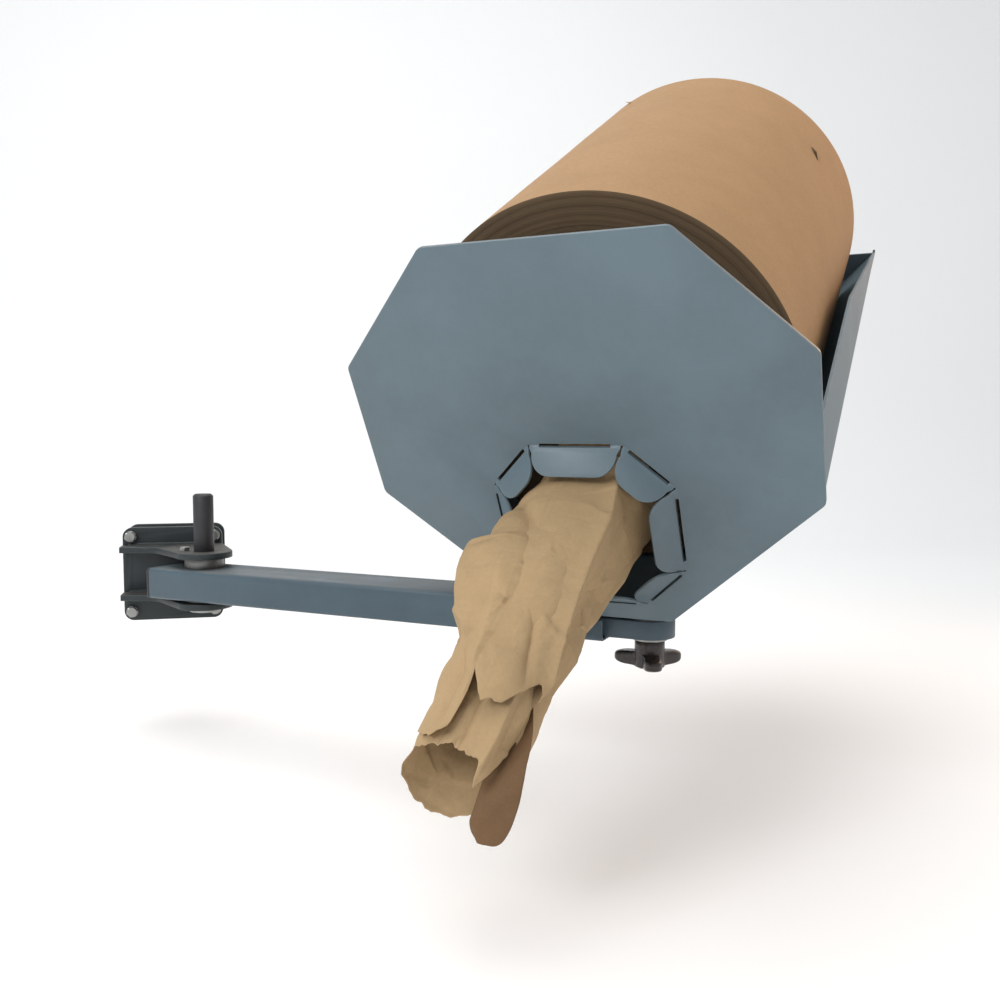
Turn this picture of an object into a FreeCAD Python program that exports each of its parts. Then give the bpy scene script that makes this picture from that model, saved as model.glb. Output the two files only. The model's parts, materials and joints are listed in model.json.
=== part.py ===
import FreeCAD, Part
import math
import os
import Sketcher

Vector = FreeCAD.Vector
Rotation = FreeCAD.Rotation
Placement = FreeCAD.Placement

X_AXIS = Vector(1, 0, 0)
Y_AXIS = Vector(0, 1, 0)
Z_AXIS = Vector(0, 0, 1)

# Driving dimensions, in millimetres and degrees.
# The row frame: origin at the centre of the bracket's clamp face, +X to the right, +Y into the upright
# and +Z up.
SIZES = {
    # clamp bracket
    "plate_width": 100,
    "plate_height": 98,
    "plate_thick": 6,
    "plate_corner": 10,
    "bolt_spacing_x": 84,
    "bolt_spacing_z": 79,
    "bolt_radius": 3,
    "bolt_head_radius": 5.8,
    "bolt_head_tall": 4,
    "washer_radius": 6,
    "washer_thick": 1.6,
    "nut_tall": 5.2,
    "bolt_overhang": 3,
    "fit_gap": 0.05,
    "upright_depth": 30,
    "back_plate_thick": 5,
    "flange_thick": 6,
    "upper_flange_base": 25,
    "lower_flange_base": -24.5,
    "flange_left_depth": 22,
    "nose_radius": 27,
    "pivot_side": 38,
    "pivot_reach": 70,
    "nose_right_turn": 8,
    "nose_left_turn": 35,
    "hollow_side": 14,
    "hollow_depth": 28,
    "pin_radius": 8,
    "pin_top": 78,
    "post_radius": 9.75,
    "post_top": 88,
    "post_chamfer": 2,
    "retainer_radius": 15,
    "retainer_thick": 4,
    "flange_bolt_side": 19,
    "flange_bolt_back": 6,
    # swing arm
    "arm_yaw": 36.7,
    "arm_reach": 455,
    "tube_width": 60,
    "tube_tall": 30,
    "tube_wall": 2,
    "tube_corner": 3.5,
    "tube_stub": 44,
    "tube_end_gap": 30,
    "tube_notch": 74,
    "cap_thick": 3,
    "cap_plug": 14,
    "sleeve_radius": 15,
    "collar_radius": 19,
    "turn_gap": 0.2,
    "tongue_half_width": 20,
    "tongue_base": -13,
    "tongue_top": 2,
    "tongue_wall": 3,
    "tongue_root": 98,
    "stud_radius": 6,
    "spacer_radius": 12,
    "glide_radius": 19,
    "glide_thick": 2,
    "stud_overhang": 13,
    "stud_nut_tall": 10,
    # head, placed from the pivot
    "head_tilt": 28.5,
    "head_side": 28,
    "head_front": 27.4,
    "edge_height": 5.1,
    "plate_drop": 162.4,
    "saddle_thick": 4,
    "saddle_half_width": 46,
    "saddle_front_gap": 7,
    "saddle_length": 78,
    "saddle_corner": 9,
    "cheek_thick": 4,
    # front plate, from the roll's axis
    "sheet_thick": 3,
    "front_corner": 7,
    "half_width": 168,
    "top_half_width": 85,
    "bottom_half_width": 53,
    "plate_top": 140.6,
    "shoulder_height": 56,
    "hip_height": -52.5,
    "outlet_drop": 78,
    "outlet_half": 69,
    "outlet_chamfer": 33.7,
    "petal_bend": 45,
    "petal_root": 1.5,
    "petal_straight": 2,
    "petal_length": 23,
    "petal_round_start": 6,
    "petal_round_inset": 2.2,
    "petal_flat_inset": 17,
    "petal_relief": 1.2,
    "petal_thick": 2,
    "slot_width": 2.4,
    "slot_share": 0.76,
    "slot_start": 6,
    "slot_cut": 12,
    # trough
    "trough_wall": 2,
    "trough_side": 164,
    "trough_contact": 150.3,
    "trough_floor": 152,
    "trough_length": 486,
    "trough_rim": 5,
    "rim_straight": 218,
    "rim_rear": -51,
    "rear_inset": 2,
    "stop_length": 40,
    "stop_foot": 28,
    "stop_tall": 20,
    "stop_thick": 2.5,
    # knob
    "clamp_washer_radius": 14,
    "clamp_washer_thick": 2.5,
    "hub_radius": 12,
    "hub_tall": 23,
    "knob_turn": -67,
    "lobe_reach": 23,
    "lobe_radius": 7,
    "lobe_tall": 11,
    "lobe_drop": 10.5,
    "insert_radius": 8.5,
    "insert_tall": 14,
    # paper
    "roll_radius": 150,
    "roll_length": 380,
    "roll_start": 66.5,
    "bore_radius": 38,
    "feed_half_width": 36,
    "feed_thick": 14,
    "feed_gap": 0.5,
    "tail_start": 30,
    "tail_straight": 20,
    "tail_radius": 49,
    "tail_wall": 1.5,
    "tail_slit": 0.3,
    "slit_run": 270,
    "slit_bend": 110,
    "slit_reach": 140,
    "strip_width": 20,
    "strip_thick": 2,
    "strip_length": 56,
}

PETAL_TURNS = 4
PETAL_STEPS = 8
LOBE_COUNT = 3
HEX_SIDES = 6
CLEAR_CUT = 400

doc = FreeCAD.newDocument("paper_dispenser")
dim = doc.addObject("Spreadsheet::Sheet", "Dim")
for row, (alias, size) in enumerate(SIZES.items(), 1):
    dim.set(f"A{row}", alias)
    dim.set(f"B{row}", str(size))
    dim.setAlias(f"B{row}", alias)
doc.recompute()

sub_parts = []


def value(expression):
    """The number that an expression on the sheet gives."""
    return float(dim.evalExpression(expression))


def publish(item, label, placement=Placement()):
    """Name a finished sub-part, put it in place and list it for export."""
    item.Label = label
    item.Placement = placement
    sub_parts.append(item)
    return item


def at(x=0, y=0, z=0, rotation=Rotation()):
    return Placement(Vector(x, y, z), rotation)


# Frames: the arm's own axes run along the tube; the pivot frame is level at the head's swivel axis;
# the head frame is tilted, with its origin where the roll's axis meets the front plate's face.
pivot_y = -value("Dim.plate_thick + Dim.pivot_reach")
arm_frame = at(value("Dim.pivot_side"), pivot_y, 0, Rotation(Z_AXIS, -value("Dim.arm_yaw")))
pivot_frame = arm_frame * at(value("Dim.arm_reach"))
edge_frame = pivot_frame * at(
    -value("Dim.head_side"),
    -value("Dim.head_front"),
    value("Dim.edge_height"),
    Rotation(X_AXIS, value("Dim.head_tilt")),
)
head_frame = edge_frame * at(z=value("Dim.plate_drop"))


# ---------------------------------------------------------------- helpers
def new_body(name):
    return doc.addObject("PartDesign::Body", name)


def new_sketch(body, name, plane="XY_Plane", lift=None, turn=Rotation()):
    """A sketch on one of the body's own origin planes, moved off it along its normal by lift."""
    sketch = body.newObject("Sketcher::SketchObject", name)
    support = [feature for feature in body.Origin.OriginFeatures if feature.Role == plane][0]
    sketch.AttachmentSupport = [(support, "")]
    sketch.MapMode = "FlatFace"
    sketch.AttachmentOffset = Placement(Vector(0, 0, 0), turn)
    if lift:
        sketch.setExpression("AttachmentOffset.Base.z", lift)
    return sketch


def pin_point(sketch, geometry, position, corner):
    """Bind a point's two coordinates to expressions on the sheet."""
    for kind, expression in zip(("DistanceX", "DistanceY"), corner):
        number = sketch.addConstraint(
            Sketcher.Constraint(kind, -1, 1, geometry, position, value(expression))
        )
        sketch.setExpression(f"Constraints[{number}]", expression)


def draw_polygon(sketch, corners):
    """A closed outline through corners, each a pair of sheet expressions."""
    places = [Vector(value(a), value(b), 0) for a, b in corners]
    first = sketch.GeometryCount
    count = len(corners)
    for index in range(count):
        sketch.addGeometry(Part.LineSegment(places[index], places[(index + 1) % count]))
    for index, corner in enumerate(corners):
        before = first + (index - 1) % count
        sketch.addConstraint(Sketcher.Constraint("Coincident", before, 2, first + index, 1))
        pin_point(sketch, first + index, 1, corner)


def draw_circle(sketch, x, y, radius):
    centre = Vector(value(x), value(y), 0)
    circle = sketch.addGeometry(Part.Circle(centre, Z_AXIS, value(radius)))
    pin_point(sketch, circle, 3, (x, y))
    number = sketch.addConstraint(Sketcher.Constraint("Radius", circle, value(radius)))
    sketch.setExpression(f"Constraints[{number}]", radius)


def rectangle(x_low, x_high, y_low, y_high):
    return [(x_low, y_low), (x_high, y_low), (x_high, y_high), (x_low, y_high)]


def extrude(body, kind, sketch, length, backwards=False):
    """A Pad or Pocket of a sketch, with its length bound to the sheet."""
    feature = body.newObject(f"PartDesign::{kind}", f"{sketch.Name}_{kind.lower()}")
    feature.Profile = sketch
    feature.setExpression("Length", length)
    feature.Reversed = backwards
    return feature


def checked_pocket(body, sketch, length, backwards=False):
    """A Pocket that must take material away."""
    doc.recompute()
    before = body.Shape.Volume
    feature = extrude(body, "Pocket", sketch, length, backwards)
    doc.recompute()
    if body.Shape.Volume > before - 1:
        raise RuntimeError(f"{feature.Name} cut nothing")
    return feature


def straight_edges(shape, direction, spots):
    """Names of the shape's straight edges along a direction that pass by any of the spots."""
    names = []
    for number, edge in enumerate(shape.Edges, 1):
        if edge.Curve.TypeId != "Part::GeomLine":
            continue
        if abs(edge.tangentAt(edge.FirstParameter).dot(direction)) < 0.999:
            continue
        offsets = [edge.CenterOfMass - spot for spot in spots]
        if any((offset - direction * offset.dot(direction)).Length < 0.5 for offset in offsets):
            names.append(f"Edge{number}")
    if len(names) < len(spots):
        raise RuntimeError("an edge to round was not found")
    return names


def round_edges(body, radius, direction, spots):
    """Fillet the body's edges that run along a direction past the spots."""
    doc.recompute()
    tip = body.Tip
    feature = body.newObject("PartDesign::Fillet", f"{tip.Name}_fillet")
    feature.Base = (tip, straight_edges(tip.Shape, direction, spots))
    feature.setExpression("Radius", radius)
    doc.recompute()
    return feature


def four_corners(first, second, plane):
    """Spots at plus and minus two half sizes in a plane, such as XZ."""
    spots = []
    for a in (-first, first):
        for b in (-second, second):
            places = {plane[0]: a, plane[1]: b}
            spots.append(Vector(places.get("X", 0), places.get("Y", 0), places.get("Z", 0)))
    return spots


def cylinder(name, radius, height, placement=Placement()):
    item = doc.addObject("Part::Cylinder", name)
    item.setExpression("Radius", radius)
    item.setExpression("Height", height)
    item.Placement = placement
    return item


def hexagon(name, radius, height, placement=Placement()):
    item = doc.addObject("Part::Prism", name)
    item.Polygon = HEX_SIDES
    item.setExpression("Circumradius", radius)
    item.setExpression("Height", height)
    item.Placement = placement
    return item


def box(name, length, width, height, placement=Placement()):
    item = doc.addObject("Part::Box", name)
    item.setExpression("Length", length)
    item.setExpression("Width", width)
    item.setExpression("Height", height)
    item.Placement = placement
    return item


def cut(name, base, tool):
    item = doc.addObject("Part::Cut", name)
    item.Base = base
    item.Tool = tool
    return item


def fuse(name, items):
    item = doc.addObject("Part::MultiFuse", name)
    item.Shapes = items
    item.Refine = True
    return item


def group(name, items):
    item = doc.addObject("Part::Compound", name)
    item.Links = items
    return item


def ring(name, inner, outer, height, placement=Placement()):
    blank = cylinder(f"{name}_blank", outer, height, placement)
    hole = cylinder(f"{name}_hole", inner, height, placement)
    return cut(name, blank, hole)


# ---------------------------------------------------------------- clamp bracket
def bolt_places():
    """The four clamp bolts' places in the X-Z plane."""
    half_x = value("Dim.bolt_spacing_x / 2")
    half_z = value("Dim.bolt_spacing_z / 2")
    return [(x, z) for x in (-half_x, half_x) for z in (-half_z, half_z)]


def clamp_plate(label, thickness, placement, backwards):
    """A plate with rounded corners and the four bolt holes."""
    body = new_body(label)
    sketch = new_sketch(body, f"{label}_outline", "XZ_Plane")
    half_x, half_z = "Dim.plate_width / 2", "Dim.plate_height / 2"
    draw_polygon(sketch, rectangle(f"-({half_x})", half_x, f"-({half_z})", half_z))
    for side in ("-", ""):
        for level in ("-", ""):
            x = f"{side}(Dim.bolt_spacing_x / 2)"
            z = f"{level}(Dim.bolt_spacing_z / 2)"
            draw_circle(sketch, x, z, "Dim.bolt_radius + Dim.fit_gap")
    extrude(body, "Pad", sketch, thickness, backwards)
    round_edges(body, "Dim.plate_corner", Y_AXIS, four_corners(value(half_x), value(half_z), "XZ"))
    publish(body, label, placement)


def flange(label, base):
    """A level flange that carries the pivot post: shallow at the left, with a round nose at the post."""
    body = new_body(label)
    front = "-Dim.plate_thick"
    sketch = new_sketch(body, f"{label}_outline", "XY_Plane", base)
    pivot_back = "-(Dim.plate_thick + Dim.pivot_reach)"
    hollow = ("-Dim.hollow_side", "-(Dim.plate_thick + Dim.hollow_depth)")
    nose = "Dim.nose_radius"
    right_x = f"Dim.pivot_side + {nose} * cos(Dim.nose_right_turn)"
    right_y = f"{pivot_back} + {nose} * sin(Dim.nose_right_turn)"
    left_x = f"Dim.pivot_side - {nose} * cos(Dim.nose_left_turn)"
    left_y = f"{pivot_back} - {nose} * sin(Dim.nose_left_turn)"
    draw_polygon(
        sketch,
        [
            ("-Dim.plate_width / 2", front),
            ("Dim.plate_width / 2", front),
            (right_x, right_y),
            ("Dim.pivot_side", pivot_back),
            (left_x, left_y),
            hollow,
            ("-Dim.plate_width / 2", "-(Dim.plate_thick + Dim.flange_left_depth)"),
        ],
    )
    extrude(body, "Pad", sketch, "Dim.flange_thick")
    tip = new_sketch(body, f"{label}_nose", "XY_Plane", base)
    draw_circle(tip, "Dim.pivot_side", pivot_back, nose)
    extrude(body, "Pad", tip, "Dim.flange_thick")
    hollow_x, hollow_y = (value(size) for size in hollow)
    round_edges(body, nose, Z_AXIS, [Vector(hollow_x, hollow_y, 0)])
    bore = new_sketch(body, f"{label}_bore", "XY_Plane", f"{base} + Dim.flange_thick")
    draw_circle(bore, "Dim.pivot_side", pivot_back, "Dim.pin_radius")
    checked_pocket(body, bore, "Dim.flange_thick")
    return body


def bolt_set():
    """Four hexagon bolts from the front face to the nuts behind the back plate."""
    grip = "Dim.plate_thick + Dim.upright_depth + Dim.back_plate_thick + 2 * Dim.washer_thick"
    shank = f"{grip} + Dim.nut_tall + Dim.bolt_overhang"
    bolts, nuts, washers = [], [], []
    face = -value("Dim.plate_thick")
    back = value("Dim.upright_depth + Dim.back_plate_thick")
    thick = value("Dim.washer_thick")
    for number, (x, z) in enumerate(bolt_places(), 1):
        into_plate = Rotation(X_AXIS, -90)
        front_washer = at(x, face - thick, z, into_plate)
        rear_washer = at(x, back, z, into_plate)
        head = at(x, face - thick - value("Dim.bolt_head_tall"), z, into_plate)
        head_piece = hexagon(f"bolt_head_{number}", "Dim.bolt_head_radius", "Dim.bolt_head_tall", head)
        shank_piece = cylinder(f"bolt_shank_{number}", "Dim.bolt_radius", shank, front_washer)
        bolts.append(fuse(f"bolt_{number}", [head_piece, shank_piece]))
        bore = "Dim.bolt_radius + Dim.fit_gap"
        for side, place in (("front", front_washer), ("rear", rear_washer)):
            name = f"washer_{side}_{number}"
            washers.append(ring(name, bore, "Dim.washer_radius", "Dim.washer_thick", place))
        nut_place = at(x, back + thick, z, into_plate)
        blank = hexagon(f"nut_blank_{number}", "Dim.bolt_head_radius", "Dim.nut_tall", nut_place)
        hole = cylinder(f"nut_hole_{number}", bore, "Dim.nut_tall", nut_place)
        nuts.append(cut(f"nut_{number}", blank, hole))
    publish(group("clamp_bolts", bolts), "clamp_bolts")
    publish(group("clamp_washers", washers), "clamp_washers")
    publish(group("clamp_nuts", nuts), "clamp_nuts")


def pivot_pin():
    """The steel pin that the arm turns on, and the sleeve on its free end above the upper flange."""
    place = at(value("Dim.pivot_side"), pivot_y, 0)
    foot = "(Dim.lower_flange_base - Dim.retainer_thick)"
    pin = cylinder("pivot_pin", "Dim.pin_radius", f"Dim.pin_top - {foot}")
    publish(pin, "pivot_pin", place * at(z=value(foot)))
    body = new_body("post_sleeve")
    sketch = new_sketch(body, "sleeve_profile", "XZ_Plane")
    flange_top = "Dim.upper_flange_base + Dim.flange_thick"
    draw_polygon(
        sketch,
        [
            ("Dim.pin_radius", flange_top),
            ("Dim.post_radius", flange_top),
            ("Dim.post_radius", "Dim.post_top - Dim.post_chamfer"),
            ("Dim.post_radius - Dim.post_chamfer", "Dim.post_top"),
            ("0", "Dim.post_top"),
            ("0", "Dim.pin_top"),
            ("Dim.pin_radius", "Dim.pin_top"),
        ],
    )
    turned = body.newObject("PartDesign::Revolution", "sleeve_turned")
    turned.Profile = sketch
    turned.ReferenceAxis = (sketch, ["V_Axis"])
    turned.Angle = 360
    publish(body, "post_sleeve", place)


def build_bracket():
    clamp_plate("bracket_plate", "Dim.plate_thick", Placement(), False)
    back = at(0, value("Dim.upright_depth"), 0)
    clamp_plate("clamp_back_plate", "Dim.back_plate_thick", back, True)
    bolt_set()
    upper = flange("upper_flange", "Dim.upper_flange_base")
    bolt_x = "Dim.pivot_side - Dim.flange_bolt_side"
    bolt_y = "-(Dim.plate_thick + Dim.pivot_reach) + Dim.flange_bolt_back"
    hole = new_sketch(upper, "flange_bolt_hole", "XY_Plane", "Dim.upper_flange_base + Dim.flange_thick")
    draw_circle(hole, bolt_x, bolt_y, "Dim.bolt_radius + Dim.fit_gap")
    checked_pocket(upper, hole, "Dim.flange_thick")
    publish(upper, "upper_flange")
    publish(flange("lower_flange", "Dim.lower_flange_base"), "lower_flange")
    pivot_pin()
    below = at(value("Dim.pivot_side"), pivot_y, value("Dim.lower_flange_base - Dim.retainer_thick"))
    publish(
        ring("pin_retainer", "Dim.pin_radius", "Dim.retainer_radius", "Dim.retainer_thick", below),
        "pin_retainer",
    )
    top = value("Dim.upper_flange_base + Dim.flange_thick")
    head = hexagon("flange_bolt_head", "Dim.bolt_head_radius", "Dim.bolt_head_tall", at(z=top))
    shank_place = at(z=value("Dim.upper_flange_base"))
    shank = cylinder("flange_bolt_shank", "Dim.bolt_radius", "Dim.flange_thick", shank_place)
    publish(fuse("flange_bolt", [head, shank]), "flange_bolt", at(value(bolt_x), value(bolt_y), 0))


# ---------------------------------------------------------------- swing arm
def arm_tube():
    """The rectangular tube, with the hole for the pivot sleeve through its top and bottom walls."""
    body = new_body("arm_tube")
    sketch = new_sketch(body, "tube_section", "YZ_Plane", "-Dim.tube_stub")
    half_y, half_z = "Dim.tube_width / 2", "Dim.tube_tall / 2"
    draw_polygon(sketch, rectangle(f"-({half_y})", half_y, f"-({half_z})", half_z))
    inner_y, inner_z = f"({half_y} - Dim.tube_wall)", f"({half_z} - Dim.tube_wall)"
    draw_polygon(sketch, rectangle(f"-{inner_y}", inner_y, f"-{inner_z}", inner_z))
    length = "Dim.tube_stub + Dim.arm_reach - Dim.tube_end_gap"
    extrude(body, "Pad", sketch, length)
    round_edges(body, "Dim.tube_corner", X_AXIS, four_corners(value(half_y), value(half_z), "YZ"))
    inner_radius = "Dim.tube_corner - Dim.tube_wall"
    round_edges(body, inner_radius, X_AXIS, four_corners(value(inner_y), value(inner_z), "YZ"))
    bore = new_sketch(body, "sleeve_hole", "XY_Plane", "Dim.tube_tall")
    draw_circle(bore, "0", "0", "Dim.sleeve_radius")
    checked_pocket(body, bore, "2 * Dim.tube_tall")
    notch = new_sketch(body, "tube_notch", "XY_Plane", "Dim.tube_tall")
    far = "(Dim.arm_reach - Dim.tube_end_gap)"
    beyond = f"{half_y} + 1"
    draw_polygon(notch, rectangle(f"{far} - Dim.tube_notch", f"{far} + 1", f"-({beyond})", beyond))
    checked_pocket(body, notch, "Dim.tube_tall - Dim.tongue_top + Dim.turn_gap")
    publish(body, "arm_tube", arm_frame)


def end_cap(label, base, place, full):
    """A moulded cap with a plug: the full one closes the stub, the other sits above the tongue."""
    top = "Dim.tube_tall / 2"
    inner_top = f"({top} - Dim.tube_wall)"
    face = box(f"{label}_face", "Dim.cap_thick", "Dim.tube_width", f"{top} - ({base})")
    face.Placement = at(0, -value("Dim.tube_width / 2"), value(base))
    rounded = doc.addObject("Part::Fillet", f"{label}_rounded")
    rounded.Base = face
    doc.recompute()
    corners = four_corners(value("Dim.tube_width / 2"), value(top), "YZ")
    names = straight_edges(face.Shape, X_AXIS, corners if full else corners[1::2])
    corner = value("Dim.tube_corner")
    rounded.Edges = [(int(name[4:]), corner, corner) for name in names]
    plug_width = "Dim.tube_width - 2 * Dim.tube_wall - 0.4"
    plug_base = f"max({base}; -{inner_top}) + 0.2"
    plug = box(f"{label}_plug", "Dim.cap_plug", plug_width, f"{inner_top} - 0.2 - ({plug_base})")
    plug_x = value("Dim.cap_thick") if full else -value("Dim.cap_plug")
    plug.Placement = at(plug_x, -value(plug_width) / 2, value(plug_base))
    publish(fuse(label, [rounded, plug]), label, arm_frame * at(place))


def swivel_tongue():
    """A folded tongue, open underneath, on the notched tube's floor; its round end carries the swivel."""
    body = new_body("swivel_tongue")
    start = "Dim.arm_reach - Dim.tongue_root"
    shells = (
        ("Pad", start, "Dim.tongue_half_width", "Dim.tongue_top - Dim.tongue_base"),
        (
            "Pocket",
            f"{start} - 1",
            "(Dim.tongue_half_width - Dim.tongue_wall)",
            "Dim.tongue_top - Dim.tongue_base - Dim.tongue_wall",
        ),
    )
    for kind, root, half, height in shells:
        bar = new_sketch(body, f"tongue_{kind.lower()}_bar", "XY_Plane", "Dim.tongue_base")
        draw_polygon(bar, rectangle(root, "Dim.arm_reach", f"-{half}", half))
        end = new_sketch(body, f"tongue_{kind.lower()}_end", "XY_Plane", "Dim.tongue_base")
        draw_circle(end, "Dim.arm_reach", "0", half)
        for sketch in (bar, end):
            extrude(body, kind, sketch, height, kind == "Pocket")
    hole = new_sketch(body, "swivel_hole", "XY_Plane", "Dim.tongue_top")
    draw_circle(hole, "Dim.arm_reach", "0", "Dim.stud_radius + Dim.fit_gap")
    checked_pocket(body, hole, "Dim.tongue_wall")
    publish(body, "swivel_tongue", arm_frame)


def build_arm():
    arm_tube()
    bore = "Dim.pin_radius + Dim.fit_gap"
    half_tall = value("Dim.tube_tall / 2")
    gap = value("Dim.turn_gap")
    sleeve = ring("pivot_sleeve", bore, "Dim.sleeve_radius", "Dim.tube_tall", at(z=-half_tall))
    publish(sleeve, "pivot_sleeve", arm_frame)
    upper_height = "Dim.upper_flange_base - Dim.tube_tall / 2 - Dim.turn_gap"
    upper = ring("upper_collar", bore, "Dim.collar_radius", upper_height, at(z=half_tall))
    publish(upper, "upper_collar", arm_frame)
    lower_height = "-Dim.tube_tall / 2 - Dim.lower_flange_base - Dim.flange_thick - Dim.turn_gap"
    lower_base = value("Dim.lower_flange_base + Dim.flange_thick") + gap
    lower = ring("lower_collar", bore, "Dim.collar_radius", lower_height, at(z=lower_base))
    publish(lower, "lower_collar", arm_frame)
    end_cap("inner_end_cap", "-Dim.tube_tall / 2", -value("Dim.tube_stub + Dim.cap_thick"), True)
    swivel_tongue()
    notch_face = value("Dim.arm_reach - Dim.tube_end_gap - Dim.tube_notch")
    end_cap("outer_end_cap", "Dim.tongue_top", notch_face, False)
    stud_bore = "Dim.stud_radius + Dim.fit_gap"
    spacer_height = "Dim.tongue_top - Dim.tongue_base - Dim.tongue_wall"
    spacer_place = at(z=value("Dim.tongue_base"))
    spacer = ring("spacer_sleeve", stud_bore, "Dim.spacer_radius", spacer_height, spacer_place)
    publish(spacer, "spacer_sleeve", pivot_frame)
    glide = ring("glide_washer", stud_bore, "Dim.glide_radius", "Dim.glide_thick - Dim.turn_gap")
    publish(glide, "glide_washer", pivot_frame * at(z=value("Dim.tongue_top")))


# ---------------------------------------------------------------- head
def saddle():
    """The level base plate on the swivel and the two wedge cheeks up to the trough's floor."""
    base = "Dim.tongue_top + Dim.glide_thick"
    front = "(Dim.saddle_front_gap - Dim.head_front)"
    rear = f"({front} + Dim.saddle_length)"
    left = "(-Dim.head_side - Dim.saddle_half_width)"
    right = "(-Dim.head_side + Dim.saddle_half_width)"
    body = new_body("saddle_base")
    outline = new_sketch(body, "saddle_outline", "XY_Plane", base)
    draw_polygon(outline, rectangle(left, right, front, rear))
    draw_circle(outline, "0", "0", "Dim.stud_radius + Dim.fit_gap")
    extrude(body, "Pad", outline, "Dim.saddle_thick")
    corners = [Vector(value(x), value(y), 0) for x in (left, right) for y in (front, rear)]
    round_edges(body, "Dim.saddle_corner", Z_AXIS, corners)
    publish(body, "saddle_base", pivot_frame)
    top = f"({base} + Dim.saddle_thick)"
    lift = "(Dim.plate_drop - Dim.trough_floor - Dim.trough_wall)"
    inset = "Dim.saddle_corner"

    def floor_level(depth):
        run = f"({depth} + Dim.head_front)"
        return f"Dim.edge_height + {run} * tan(Dim.head_tilt) + {lift} / cos(Dim.head_tilt)"

    for label, side in (("saddle_cheek_left", left), ("saddle_cheek_right", f"{right} - Dim.cheek_thick")):
        cheek = new_body(label)
        outline = new_sketch(cheek, f"{label}_outline", "YZ_Plane", side)
        near, far = f"({front} + {inset})", f"({rear} - {inset})"
        draw_polygon(
            outline,
            [(near, top), (far, top), (rear, floor_level(rear)), (near, floor_level(near))],
        )
        extrude(cheek, "Pad", outline, "Dim.cheek_thick")
        publish(cheek, label, pivot_frame)


def octagon(half, chamfer, drop):
    """Corners of an octagon about a centre that lies drop below the sketch's origin."""
    flat = f"({half} - {chamfer})"
    steps = [(flat, half), (half, flat)]
    corners = []
    for x_sign, z_sign, order in (("", "", 1), ("", "-", -1), ("-", "-", 1), ("-", "", -1)):
        for a, b in steps[::order]:
            corners.append((f"{x_sign}{a}", f"{z_sign}{b} - {drop}"))
    return corners


def plate_outline():
    right = [
        ("Dim.top_half_width", "Dim.plate_top"),
        ("Dim.half_width", "Dim.shoulder_height"),
        ("Dim.half_width", "Dim.hip_height"),
        ("Dim.bottom_half_width", "-Dim.plate_drop"),
    ]
    return right + [(f"-{x}", z) for x, z in reversed(right)]


def petal_edge(base_half):
    """Right edge of a petal from its root to its flat tip: a short straight, then a rounded corner."""
    corners = [(base_half, "-Dim.petal_root"), (base_half, "Dim.petal_straight")]
    for step in range(PETAL_STEPS + 1):
        angle = math.pi / 2 * step / PETAL_STEPS
        wide = f"(Dim.petal_flat_inset - Dim.petal_round_inset) * {math.cos(angle):.6f}"
        tall = f"(Dim.petal_length - Dim.petal_round_start) * {math.sin(angle):.6f}"
        corners.append((f"({base_half} - Dim.petal_flat_inset + {wide})", f"Dim.petal_round_start + {tall}"))
    return corners


def front_plate():
    """One laser-cut sheet: an eight-sided plate whose outlet has eight petals bent out and in."""
    body = new_body("front_plate")
    outline = new_sketch(body, "front_outline", "XZ_Plane")
    draw_polygon(outline, plate_outline())
    draw_polygon(outline, octagon("Dim.outlet_half", "Dim.outlet_chamfer", "Dim.outlet_drop"))
    extrude(body, "Pad", outline, "Dim.sheet_thick", True)
    corners = [Vector(value(x), 0, value(z)) for x, z in plate_outline()]
    round_edges(body, "Dim.front_corner", Y_AXIS, corners)
    centre = new_sketch(body, "outlet_centre", "XZ_Plane")
    centre.AttachmentOffset = at(0, -value("Dim.outlet_drop"), 0)
    doc.recompute()

    diagonal_half = "(Dim.outlet_half * sqrt(2) - Dim.outlet_chamfer / sqrt(2))"
    sides = (
        ("long", 0, "Dim.outlet_half", "(Dim.outlet_half - Dim.outlet_chamfer)"),
        ("short", 45, diagonal_half, "(Dim.outlet_chamfer / sqrt(2))"),
    )
    for name, turn, distance, half_side in sides:
        # In the plate's sketch plane, +y of the turned frame points from the outlet's centre to the fold.
        about = Rotation(Z_AXIS, -turn)
        reach = value(distance)
        fold = about.multVec(Vector(0, reach, 0)) - Vector(0, value("Dim.outlet_drop"), 0)
        lean = about * Rotation(X_AXIS, 180 - value("Dim.petal_bend"))
        petal = new_sketch(body, f"petal_{name}", "XZ_Plane")
        petal.AttachmentOffset = Placement(fold, lean)
        base_half = f"({half_side} - Dim.petal_relief)"
        draw_polygon(petal, mirrored(petal_edge(base_half)))
        leaf = extrude(body, "Pad", petal, "Dim.petal_thick")
        doc.recompute()
        slot = new_sketch(body, f"slot_{name}", "XZ_Plane")
        slot.AttachmentOffset = Placement(fold + Vector(0, 0, value("Dim.slot_start")), about)
        slot_half = f"({half_side} * Dim.slot_share)"
        draw_polygon(
            slot,
            rectangle(f"-{slot_half}", slot_half, "-Dim.slot_width / 2", "Dim.slot_width / 2"),
        )
        window = checked_pocket(body, slot, "Dim.slot_cut")
        pattern = body.newObject("PartDesign::PolarPattern", f"petals_{name}")
        pattern.Originals = [leaf, window]
        pattern.Axis = (centre, ["N_Axis"])
        pattern.Angle = 360
        pattern.Occurrences = PETAL_TURNS
        body.Tip = pattern
        doc.recompute()
    publish(body, "front_plate", head_frame)


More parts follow.
